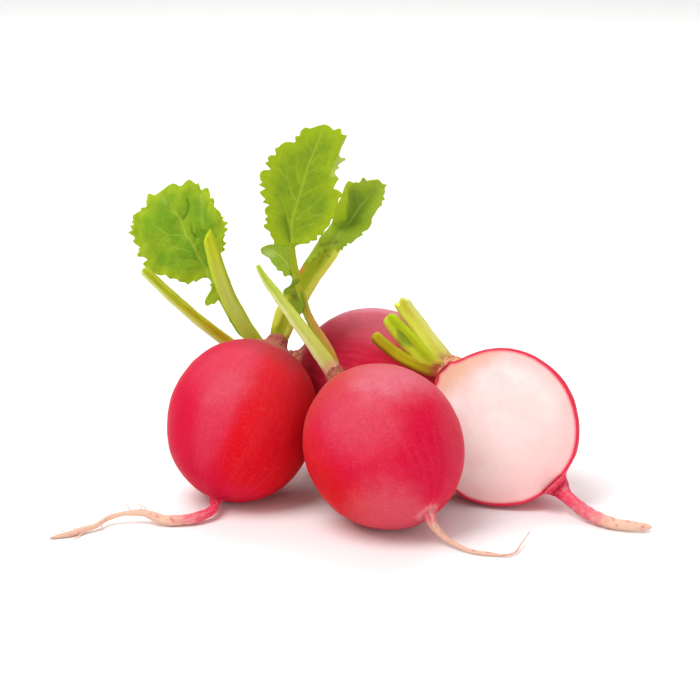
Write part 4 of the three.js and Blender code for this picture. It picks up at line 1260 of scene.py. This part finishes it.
LEAVES = {
    "round_leaf": dict(
        foot=(-32.2, 38.0, 35.5),
        outline=[(-1.0, -0.2), (-1.4, 0.6), (-1.9, 1.2), (-2.7, 1.2), (-3.3, 1.0), (-4.0, 0.5), (-4.3, 0.2),
                 (-4.7, 0.6), (-5.1, 0.3), (-5.6, -0.1), (-6.0, -0.3), (-6.3, 0.2), (-7.0, 0.3), (-7.6, 0.4),
                 (-7.9, 0.8), (-8.6, 1.0), (-9.4, 0.9), (-9.8, 1.4), (-10.2, 1.8), (-10.8, 1.5),
                 (-11.6, 1.7), (-12.9, 2.5), (-13.8, 3.2), (-14.4, 3.8), (-14.1, 4.3), (-13.5, 4.7),
                 (-13.7, 5.0), (-14.3, 5.3), (-15.4, 5.4), (-15.5, 5.8), (-15.0, 6.5), (-15.3, 6.9),
                 (-14.8, 7.2), (-15.7, 7.8), (-16.3, 8.4), (-15.8, 9.0), (-15.9, 9.3), (-16.4, 9.7),
                 (-17.1, 10.2), (-16.7, 10.5), (-16.2, 10.7), (-16.8, 11.6), (-15.9, 11.8), (-16.5, 12.4),
                 (-16.1, 12.6), (-16.2, 13.3), (-16.1, 13.8), (-15.4, 14.3), (-14.7, 14.7), (-14.6, 15.0),
                 (-14.8, 15.2), (-13.7, 15.4), (-13.5, 15.9), (-13.6, 16.5), (-13.4, 17.4), (-13.3, 18.0),
                 (-12.9, 18.2), (-12.0, 17.8), (-11.4, 18.1), (-10.6, 18.7), (-9.9, 19.3), (-9.1, 19.9),
                 (-8.4, 20.2), (-7.8, 20.1), (-7.3, 19.7), (-6.9, 19.7), (-6.5, 19.9), (-6.0, 20.5),
                 (-5.3, 21.0), (-4.7, 20.7), (-4.3, 20.3), (-3.8, 20.0), (-3.3, 20.3), (-3.1, 19.3),
                 (-2.9, 18.8), (-2.2, 19.2), (-1.5, 19.2), (-1.3, 18.6), (-1.1, 17.7), (-1.2, 17.2),
                 (-0.4, 17.1), (-0.3, 16.4), (-0.5, 15.6), (0.0, 15.1), (0.6, 14.6), (1.0, 14.0),
                 (1.0, 13.5), (1.6, 13.4), (1.2, 13.0), (1.5, 12.5), (2.3, 12.3), (2.1, 11.9), (1.7, 11.7),
                 (1.6, 11.3), (2.3, 11.0), (2.0, 10.5), (1.5, 10.1), (1.8, 9.8), (1.5, 9.3), (1.3, 8.8),
                 (1.5, 8.4), (2.0, 8.2), (1.6, 7.7), (1.2, 7.4), (1.7, 6.8), (1.1, 6.4), (0.5, 6.1),
                 (0.9, 5.5), (0.6, 5.1), (0.7, 4.7), (1.2, 4.2), (1.4, 3.1), (1.7, 2.0), (1.5, 1.3),
                 (0.4, 2.2), (-0.3, 0.4)],
        midrib=[(-1.3, 0.6), (-2.1, 2.6), (-2.8, 4.0), (-3.7, 5.6), (-4.4, 7.4), (-5.1, 8.7), (-6.0, 9.8),
                (-6.5, 11.5), (-6.9, 12.6), (-7.3, 13.5), (-8.0, 14.2), (-8.7, 14.9)],
        veins=[[(-4.4, 7.8), (-3.9, 8.4), (-3.7, 9.2)],
               [(-5.9, 9.7), (-7.5, 9.8), (-9.6, 9.8), (-10.2, 10.4), (-11.4, 11.3), (-13.0, 12.2)],
               [(-3.8, 4.4), (-5.2, 4.7), (-7.2, 4.6), (-8.5, 4.7)],
               [(-5.4, 6.5), (-6.7, 6.9), (-8.2, 7.3), (-10.0, 7.1)],
               [(-2.9, 2.9), (-5.1, 2.5), (-7.3, 2.4)], [(-6.1, 10.3), (-7.1, 11.2), (-8.3, 11.8)],
               [(-9.6, 9.8), (-10.8, 8.7), (-11.5, 7.6)], [(-3.7, 5.6), (-3.0, 7.6)],
               [(-7.3, 13.5), (-8.3, 15.2), (-9.1, 17.4)]],
        spacing=0.26),
    "tall_leaf": dict(
        foot=(-17.0, 14.7, 49.4),
        outline=[(0.5, -0.5), (-1.3, -0.6), (-3.2, -0.1), (-3.1, 0.6), (-3.4, 1.0), (-3.8, 1.6), (-3.8, 2.3),
                 (-4.4, 2.7), (-5.0, 3.2), (-5.0, 3.6), (-4.2, 4.0), (-4.8, 4.6), (-4.2, 5.1), (-4.7, 5.7),
                 (-4.8, 6.4), (-4.5, 6.9), (-4.0, 7.1), (-4.1, 7.5), (-5.1, 7.8), (-5.0, 8.0), (-4.6, 8.3),
                 (-5.0, 8.8), (-5.6, 9.6), (-5.5, 9.9), (-4.5, 10.4), (-5.0, 10.7), (-5.8, 11.1),
                 (-5.7, 11.2), (-5.1, 11.6), (-5.5, 12.0), (-5.6, 12.7), (-5.4, 13.5), (-4.8, 13.9),
                 (-4.1, 13.8), (-3.6, 14.0), (-3.9, 14.4), (-4.5, 15.0), (-4.5, 15.3), (-3.9, 15.5),
                 (-4.1, 16.0), (-4.0, 16.4), (-3.4, 16.7), (-2.7, 16.6), (-2.6, 17.0), (-2.8, 17.7),
                 (-2.7, 18.0), (-2.1, 18.2), (-1.7, 18.7), (-1.0, 19.1), (-0.2, 19.2), (0.6, 19.0),
                 (1.0, 19.2), (0.9, 19.8), (1.0, 20.3), (1.7, 20.3), (1.8, 21.0), (2.2, 21.6), (2.8, 21.9),
                 (3.6, 21.7), (4.4, 22.0), (5.3, 22.3), (6.2, 22.6), (7.0, 22.3), (7.5, 21.9), (7.9, 21.4),
                 (8.6, 21.7), (9.2, 21.7), (9.3, 21.2), (9.3, 20.6), (10.4, 20.4), (10.0, 19.6), (9.8, 19.0),
                 (9.4, 18.3), (9.1, 17.4), (8.9, 16.9), (9.1, 16.3), (10.1, 16.2), (10.0, 15.8), (9.4, 15.4),
                 (8.6, 14.8), (9.0, 14.4), (8.4, 13.9), (8.1, 13.5), (8.3, 12.9), (8.9, 12.3), (8.5, 11.7),
                 (8.1, 11.0), (7.9, 10.3), (8.6, 10.2), (9.5, 9.5), (9.3, 8.8), (8.8, 8.6), (8.7, 7.9),
                 (8.6, 6.9), (8.2, 6.0), (8.0, 5.3), (7.9, 4.8), (7.4, 4.6), (7.3, 4.1), (7.1, 3.5),
                 (6.7, 3.1), (6.3, 2.8), (6.1, 2.3), (5.7, 1.6), (4.9, 1.7), (4.8, 1.2), (4.9, 0.8),
                 (4.1, 0.6), (3.5, 0.6), (3.5, 0.2), (2.8, 0.0), (1.9, 0.0), (0.7, -0.3)],
        midrib=[(0.3, -0.7), (0.2, 1.7), (0.1, 3.1), (0.5, 5.7), (1.2, 8.0), (1.8, 9.7), (2.5, 12.1),
                (3.2, 14.7), (4.2, 17.0), (5.3, 19.8), (6.1, 22.3)],
        veins=[[(1.2, 8.0), (0.2, 9.5), (-0.3, 11.4), (-0.7, 13.5), (-0.8, 15.8)],
               [(1.8, 9.0), (3.2, 9.9), (4.8, 10.7), (6.1, 11.5), (6.7, 12.1)],
               [(0.6, 4.1), (2.0, 5.7), (3.4, 6.8), (5.3, 8.3), (6.7, 10.2)],
               [(3.4, 6.8), (3.3, 6.0), (4.3, 5.4), (6.0, 5.5)],
               [(0.3, 1.7), (1.3, 2.8), (2.9, 3.6), (5.0, 3.9)],
               [(0.2, 2.6), (-0.3, 4.3), (-1.0, 6.9), (-2.2, 10.0)], [(0.4, 0.3), (2.0, 1.2), (3.6, 1.9)],
               [(3.2, 14.7), (4.4, 15.8), (5.8, 17.7)], [(2.9, 13.3), (4.4, 14.0), (5.8, 15.1)],
               [(4.2, 17.0), (3.0, 19.1), (2.8, 20.9)], [(2.1, 10.4), (1.4, 12.6), (1.2, 14.9), (1.4, 16.8)],
               [(5.3, 19.8), (6.7, 21.2)], [(6.8, 14.9), (7.6, 17.7), (8.1, 20.5)],
               [(-3.9, 11.2), (-4.8, 11.6)], [(-3.2, 8.8), (-4.6, 9.7)], [(-3.4, 12.6), (-4.6, 13.3)],
               [(-0.3, 4.3), (-1.9, 6.0), (-3.7, 6.4)], [(-0.5, 12.1), (-2.0, 14.0), (-2.9, 15.6)]],
        spacing=0.26),
    "dark_leaf": dict(
        foot=(-8.9, 25.0, 47.9),
        outline=[(-3.1, -0.4), (-2.6, 0.4), (-1.5, 1.7), (-0.6, 3.0), (-0.3, 4.3), (0.3, 6.2), (1.2, 8.1),
                 (1.8, 10.1), (2.5, 11.1), (3.1, 10.9), (3.5, 10.7), (4.0, 11.0), (4.3, 10.7), (4.8, 11.0),
                 (5.2, 11.8), (5.6, 11.7), (5.9, 11.2), (6.9, 11.4), (8.2, 11.5), (9.0, 10.6), (9.8, 10.5),
                 (9.3, 9.9), (9.4, 9.0), (9.0, 8.2), (9.4, 7.6), (8.7, 7.2), (8.9, 6.5), (8.1, 5.9),
                 (7.5, 4.8), (6.9, 3.8), (6.9, 2.9), (6.2, 1.7), (5.0, 1.1), (5.2, 0.6), (4.6, 0.1),
                 (4.0, -0.2), (3.5, -0.7), (2.9, -1.3), (2.4, -1.0), (2.0, -1.8), (1.6, -1.5),
                 (1.3, -2.6), (0.9, -2.1), (0.4, -2.8), (0.0, -2.1), (-0.5, -2.8), (-0.9, -2.0), (-1.6, -2.6),
                 (-2.1, -2.1), (-2.7, -3.0), (-3.1, -2.8), (-3.6, -4.0), (-4.1, -3.8), (-4.8, -5.2),
                 (-5.2, -4.6), (-4.7, -3.4), (-4.1, -2.4), (-3.3, -1.5)],
        midrib=[(-1.2, -1.9), (0.9, 0.8), (2.8, 3.4), (4.5, 6.0), (6.4, 8.4), (7.9, 10.5)],
        veins=[[(9.0, 9.6), (8.1, 7.9), (7.3, 6.8), (6.5, 5.3), (5.7, 4.6)],
               [(2.0, 2.0), (3.9, 2.4), (5.8, 3.4)], [(4.5, 6.0), (4.3, 7.6), (3.9, 8.8)]],
        spacing=0.22),
    "tall_leaf_side_lobe": dict(
        foot=(-16.9, 15.0, 44.5),
        outline=[(1.0, 4.4), (-0.5, 4.2), (-2.2, 4.5), (-3.3, 4.7), (-3.9, 4.7), (-4.7, 4.5), (-5.3, 4.2),
                 (-5.8, 3.8), (-5.6, 3.0), (-5.0, 2.6), (-4.1, 2.1), (-3.8, 1.4), (-3.4, 0.8), (-2.9, 0.4),
                 (-2.7, -0.3), (-1.8, -0.4), (-1.6, -0.8), (-1.7, -1.1), (-1.2, -1.5), (-0.7, -1.2),
                 (-0.1, -1.3), (0.1, -2.0), (1.1, -2.8), (1.4, -1.1), (0.9, 0.8), (0.5, 2.7), (0.4, 4.4)],
        midrib=[(0.8, -1.3), (-0.7, 1.0), (-2.2, 2.7), (-4.4, 3.7)],
        veins=[[(-0.4, 0.6), (-2.0, 0.8)], [(-1.8, 2.3), (-2.2, 3.9)]],
        spacing=0.18),
    "tall_leaf_low_lobe": dict(
        foot=(-16.0, 14.4, 38.0),
        outline=[(0.5, 4.9), (-0.9, 4.6), (-1.0, 3.7), (-1.5, 3.3), (-2.2, 2.9), (-2.6, 2.2), (-2.3, 1.6),
                 (-1.8, 2.0), (-1.2, 1.8), (-0.9, 1.2), (-1.3, 0.7), (-0.9, 0.1), (-0.1, -1.3), (0.5, -2.2),
                 (1.1, -1.7), (1.5, -0.1), (1.3, 1.4), (1.0, 3.2)],
        midrib=[(0.8, 3.9), (0.1, 2.8), (-1.8, 2.6)],
        veins=[[(0.2, 1.8), (0.2, -0.9)]],
        spacing=0.16),
    "round_leaf_side_lobe": dict(
        foot=(-32.2, 37.5, 33.2),
        outline=[(-0.7, 2.9), (-1.2, 1.9), (-1.3, 1.1), (-1.8, 0.3), (-2.3, -0.5), (-2.6, -1.3),
                 (-2.5, -1.9), (-2.0, -2.2), (-1.5, -1.9), (-1.0, -1.7), (-0.7, -1.9), (0.0, -1.1),
                 (0.6, -0.4), (1.0, 0.2)],
        midrib=[(0.3, 0.9), (-0.9, -0.1), (-1.9, -1.4)],
        veins=[[(-0.5, 0.3), (-0.9, -1.1)]],
        spacing=0.16),
    "round_leaf_low_lobe": dict(
        foot=(-31.4, 37.5, 29.7),
        outline=[(0.2, 2.6), (0.8, 0.5), (1.2, -1.1), (1.6, -2.2), (2.3, -2.0), (2.2, 0.1), (1.4, 1.9)],
        midrib=[(1.0, 1.5), (1.7, -1.3)],
        veins=[[(1.2, 0.6), (0.9, 0.0)]],
        spacing=0.16),
}


def softened(outline):
    """Cuts the corners of a closed outline, so that its teeth are a little rounded."""
    cut = []
    for (ax, ay), (bx, by) in zip(outline, outline[1:] + outline[:1]):
        for share in (CORNER_CUT, 1 - CORNER_CUT):
            cut.append((ax * (1 - share) + bx * share, ay * (1 - share) + by * share))
    return cut


def beside_line(line):
    """Points on a flat line and on both sides of it, for a crisp vein."""
    found = []
    for a, b in zip(np.array(line), np.array(line)[1:]):
        span = np.linalg.norm(b - a)
        across = np.array([a[1] - b[1], b[0] - a[0]]) / span
        for share in np.arange(0, 1, VEIN_STEP / span):
            for offset in (0, VEIN_SIDE, -VEIN_SIDE):
                found.append(a + (b - a) * share + across * offset)
    return found


def flat_sheet(outline, spacing, veins):
    """Triangles that fill an outline, on a grid of the given spacing and along the veins."""
    outline = softened(outline)
    kept = []
    for place in [p for line in veins for p in beside_line(line)]:
        if not kept or np.min(np.linalg.norm(np.array(kept) - place, axis=1)) > VEIN_CLEARANCE:
            kept.append(place)
    kept = np.array(kept)
    grid = np.array(grid_over(np.array(outline), spacing))
    gaps = np.min(np.linalg.norm(grid[:, None, :] - kept[None, :, :], axis=2), axis=1)
    return filled(outline, np.concatenate([kept, grid[gaps > GRID_CLEARANCE]]))


def within(points, outline):
    """Which points lie inside a closed outline."""
    x, y = points[:, 0], points[:, 1]
    found = np.zeros(len(points), bool)
    for (ax, ay), (bx, by) in zip(outline, outline[1:] + outline[:1]):
        if ay != by:
            crosses = ((ay > y) != (by > y)) & (x < (bx - ax) * (y - ay) / (by - ay) + ax)
            found ^= crosses
    return found


def close_to(points, line, reach):
    """1 on a line, fading to 0 beyond its reach."""
    away, _ = distance_to(points, line)
    return np.exp(-(away / reach) ** 2)


# A blade's folds: how far each of its points stands out towards the viewer, in millimetres, and where
# it is paler (above 0) or darker (below 0) than the rest: painted highlight on folds, painted shade in
# creases and hollows, and some of the blade's own tints.

def round_leaf_folds(points, from_rib):
    y = points[:, 1]
    height = 0.055 * from_rib ** 1.6 - 0.010 * (y - 8) ** 2
    height -= 0.35 * close_to(points, [(-1.6, 4.0), (-2.0, 9.0), (-2.2, 13.0), (-2.6, 18.5)], 1.1)
    patch = np.zeros(len(points))
    # The creases are pressed in and darkened with painted shade.
    for crease in ([(-5.6, 17.1), (-5.3, 15.6), (-5.7, 14.3), (-6.4, 13.2)],
                   [(-4.9, 11.4), (-4.8, 10.3), (-4.1, 9.4)]):
        height -= 0.3 * close_to(points, crease, 0.4)
        patch -= 0.7 * close_to(points, crease, 0.32)
    patch += 0.55 * close_to(points, [(-2.7, 11.4), (-2.8, 13.4), (-2.9, 15.6), (-2.8, 17.6)], 0.5)
    # Painted shade along the pressed furrow beside the midrib.
    patch -= 0.5 * close_to(points, [(-1.9, 12.5), (-2.1, 14.3), (-1.7, 16.5)], 0.4)
    patch -= 0.35 * close_to(points, [(-3.9, 17.4), (-3.9, 14.5), (-3.9, 12.1), (-3.8, 9.8)], 0.5)
    patch += 0.5 * close_to(points, [(-10.6, 17.6), (-9.9, 16.3)], 0.7)
    patch += 0.5 * close_to(points, [(-13.9, 7.6), (-14.4, 6.2)], 0.6)
    height += 0.6 * close_to(points, [(-9.5, 17.0), (-7.5, 16.5)], 2.0)
    return height, patch


def tall_leaf_folds(points, from_rib):
    """The right margin is folded back along a line, with a painted highlight on the folded strip and a
    painted shadow just inside the fold, and a wedge beside the midrib is pressed in and darkened
    with painted shade.
    """
    x, y = points[:, 0], points[:, 1]
    height = 0.03 * from_rib ** 1.7 - 0.006 * (y - 9) ** 2
    fold_line = [(6.1, 11.5), (6.7, 12.2), (7.6, 14.6), (8.4, 16.8), (9.3, 19.3), (10.0, 20.5)]
    fold, _ = distance_to(points, fold_line)
    limit = np.interp(y, [p[1] for p in fold_line], [p[0] for p in fold_line])
    beyond = np.where((y > 11.5) & (x > limit), fold, 0)
    height -= 0.5 * np.minimum(beyond, 2.5) * eased(y, 11.0, 14.5)
    # Painted highlight on the folded strip, and painted shadow just inside the fold.
    patch = eased(beyond, 0.05, 0.3) * eased(y, 11.8, 13.2) * 0.75
    patch -= np.where((y > 12.5) & (x <= limit), np.exp(-(fold / 0.3) ** 2), 0) * 0.5
    wedge = [(-1.2, 5.3), (-0.8, 3.6), (-0.5, 1.9), (-0.3, 0.6)]
    height -= 0.5 * close_to(points, wedge, 0.6)
    # The wedge is darkened with painted shade.
    patch -= 0.8 * close_to(points, wedge, 0.36)
    return height, patch


def dark_leaf_folds(points, from_rib):
    """The blade is cupped along its midrib, its left edge turns over in a pale flap, and its base
    comes forward. The hollow beside the flap is darkened with painted shade."""
    x, y = points[:, 0], points[:, 1]
    flap = [(-0.4, 2.8), (-0.8, 4.0), (-0.2, 6.2), (0.7, 8.0), (1.5, 10.1), (2.4, 11.3), (3.2, 10.5),
            (2.3, 9.6), (2.3, 7.9), (2.1, 6.4), (2.0, 5.3), (2.1, 3.5), (1.6, 3.9), (1.2, 3.6),
            (0.8, 3.3), (0.2, 3.2)]
    on_flap = within(points, flap)
    height = -1.8 * np.exp(-(from_rib / 2.4) ** 2)
    height += 0.9 * close_to(points, [(-0.9, 2.3), (0.7, 6.2), (2.4, 11.1)], 1.2)
    height += 3.4 * eased(y, 3.0, 0.0) + 1.0 * eased(y, -1.5, -6.0)
    patch = 0.9 * on_flap
    # Painted shade in the hollow beside the flap.
    hollow = close_to(points, [(3.4, 8.4), (4.0, 6.4), (3.4, 4.4)], 1.9)
    patch -= np.where(on_flap, 0, hollow) * 0.65
    patch += 0.25 * eased(x - y * 0.66, 2.6, 4.2)
    patch -= 0.6 * close_to(points, [(-2.6, -1.4), (-1.0, -1.0), (0.4, -0.8)], 0.5)
    patch += 0.5 * eased(y, -1.2, -3.2)
    return height, patch


def lobe_folds(points, from_rib):
    return 0.08 * from_rib ** 1.5, np.zeros(len(points))


def side_lobe_folds(points, from_rib):
    height, patch = lobe_folds(points, from_rib)
    patch += 0.8 * close_to(points, [(-4.6, 3.2), (-3.6, 3.0)], 1.0)
    patch -= 0.8 * close_to(points, [(0.3, 2.6), (0.6, 0.4), (0.6, -1.4)], 0.8)
    return height, patch


def low_lobe_folds(points, from_rib):
    height, patch = lobe_folds(points, from_rib)
    patch -= 0.8 * close_to(points, [(-0.6, 1.4), (0.3, 1.2)], 0.7)
    return height, patch


FOLDS = {
    "round_leaf": round_leaf_folds, "tall_leaf": tall_leaf_folds, "dark_leaf": dark_leaf_folds,
    "tall_leaf_side_lobe": side_lobe_folds, "tall_leaf_low_lobe": low_lobe_folds,
    "round_leaf_side_lobe": lobe_folds, "round_leaf_low_lobe": lobe_folds,
}


def relief_of(name, points, inside):
    """A blade's folds with its raised veins, the quilting between them and a wavy margin: the
    heights, how much of a vein each point is (0 to 1), and the patches of painted highlight, painted
    shade and the blade's own tints."""
    facts = LEAVES[name]
    from_rib, share = distance_to(points, facts["midrib"])
    height, patch = FOLDS[name](points, from_rib)
    quilt = from_rib
    vein = np.exp(-(from_rib / (0.22 - 0.09 * share)) ** 2)
    for line in facts["veins"]:
        away, along = distance_to(points, line)
        vein = np.maximum(vein, (0.75 - 0.35 * along) * np.exp(-(away / 0.12) ** 2))
        quilt = np.minimum(quilt, away)
    height += 0.14 * eased(quilt, 0.0, 1.3) + 0.10 * vein
    size = min(1.0, math.sqrt(len(points)) / 60)
    height += size * (0.32 * noise_at(points, 3.4, 1.3) + 0.14 * noise_at(points, 1.3, 7.7))
    height += 0.6 * eased(inside, 1.4, 0.0) * noise_at(points, 1.9, 4.1) * size
    return height, vein, patch


def leaf_place(name, point, height):
    """Where a flat point of a blade is in the frame, with its height towards the viewer."""
    foot = LEAVES[name]["foot"]
    return at((foot[0] + point[0], foot[1], foot[2] + point[1])) + TOWARDS_CAMERA * height * MM


def leaf(name):
    """A blade: a flat toothed sheet that is given its folds, its veins and a thickness."""
    facts = LEAVES[name]
    points, triangles = flat_sheet(facts["outline"], facts["spacing"], [facts["midrib"]] + facts["veins"])
    inside, _ = distance_to(points, facts["outline"] + facts["outline"][:1])
    height, vein, patch = relief_of(name, points, inside)
    places = [leaf_place(name, p, h) for p, h in zip(points, height)]
    mesh = bpy.data.meshes.new("grown_" + name)
    mesh.from_pydata(places, [], triangles)
    piece = bpy.data.objects.new("grown_" + name, mesh)
    bpy.context.scene.collection.objects.link(piece)
    for key, values in (("vein", vein), ("inside", inside), ("patch", patch)):
        attribute = mesh.attributes.new(key, "FLOAT", "POINT")
        attribute.data.foreach_set("value", np.asarray(values, np.float32))
    attribute = mesh.attributes.new("blade", "FLOAT_VECTOR", "POINT")
    flat = np.column_stack([points, np.zeros(len(points))]).astype(np.float32)
    attribute.data.foreach_set("vector", flat.ravel())
    nothing_selected()
    piece.select_set(True)
    apply_modifier(piece, "SOLIDIFY", thickness=LEAF_THICKNESS, offset=0)
    return piece


# light and dark also colour the patches: painted highlight and painted shade on most blades, and the side
# lobe's own olive-brown wing.
LEAF_COLOURS = {
    "round_leaf": dict(
        blade=(0.162, 0.365, 0.015), margin=(0.44, 0.57, 0.020), shade=(0.14, 0.31, 0.012),
        vein=(0.44, 0.57, 0.07), light=(0.42, 0.58, 0.10), dark=(0.09, 0.20, 0.012)),
    "tall_leaf": dict(
        blade=(0.172, 0.29, 0.011), margin=(0.36, 0.48, 0.009), shade=(0.13, 0.235, 0.010),
        vein=(0.36, 0.47, 0.03), light=(0.44, 0.50, 0.12), dark=(0.10, 0.20, 0.010)),
    "dark_leaf": dict(
        blade=(0.215, 0.34, 0.018), margin=(0.36, 0.48, 0.035), shade=(0.16, 0.265, 0.015),
        vein=(0.34, 0.46, 0.07), light=(0.40, 0.54, 0.018), dark=(0.075, 0.165, 0.014)),
    "low_lobe": dict(
        blade=(0.13, 0.20, 0.012), margin=(0.20, 0.29, 0.018), shade=(0.10, 0.15, 0.009),
        vein=(0.26, 0.30, 0.03), light=(0.33, 0.42, 0.10), dark=(0.10, 0.11, 0.012)),
    "side_lobe": dict(
        blade=(0.21, 0.34, 0.016), margin=(0.28, 0.41, 0.03), shade=(0.15, 0.24, 0.012),
        vein=(0.42, 0.50, 0.05), light=(0.42, 0.56, 0.16), dark=(0.22, 0.20, 0.020)),
}
LEAF_FINISHES = {name: leaf_finish(name, **colours) for name, colours in LEAF_COLOURS.items()}
# The lobes' finishes; each other blade has its own.
LEAF_FINISH_OF = {
    "tall_leaf_side_lobe": "side_lobe", "tall_leaf_low_lobe": "low_lobe",
    "round_leaf_side_lobe": "round_leaf", "round_leaf_low_lobe": "round_leaf",
}

for leaf_name in LEAVES:
    piece = leaf(leaf_name)
    material = LEAF_FINISHES[LEAF_FINISH_OF.get(leaf_name, leaf_name)]
    finished(piece, material, leaf_name)


# ---------------------------------------------------------------- floor

floor_finish = Finish("pale_floor")
floor_place = floor_finish.place()
floor_grain = floor_finish.mottle(floor_place, 0.02, 3)
floor_colour = floor_finish.blend(floor_grain, (0.93, 0.925, 0.92), (0.95, 0.945, 0.94))
nothing_selected()
bpy.ops.mesh.primitive_plane_add(size=6)
floor = bpy.context.object
floor.name = "floor"
floor.data.materials.append(floor_finish.done(Base_Color=floor_colour, Roughness=0.7, Specular_IOR_Level=0.2))
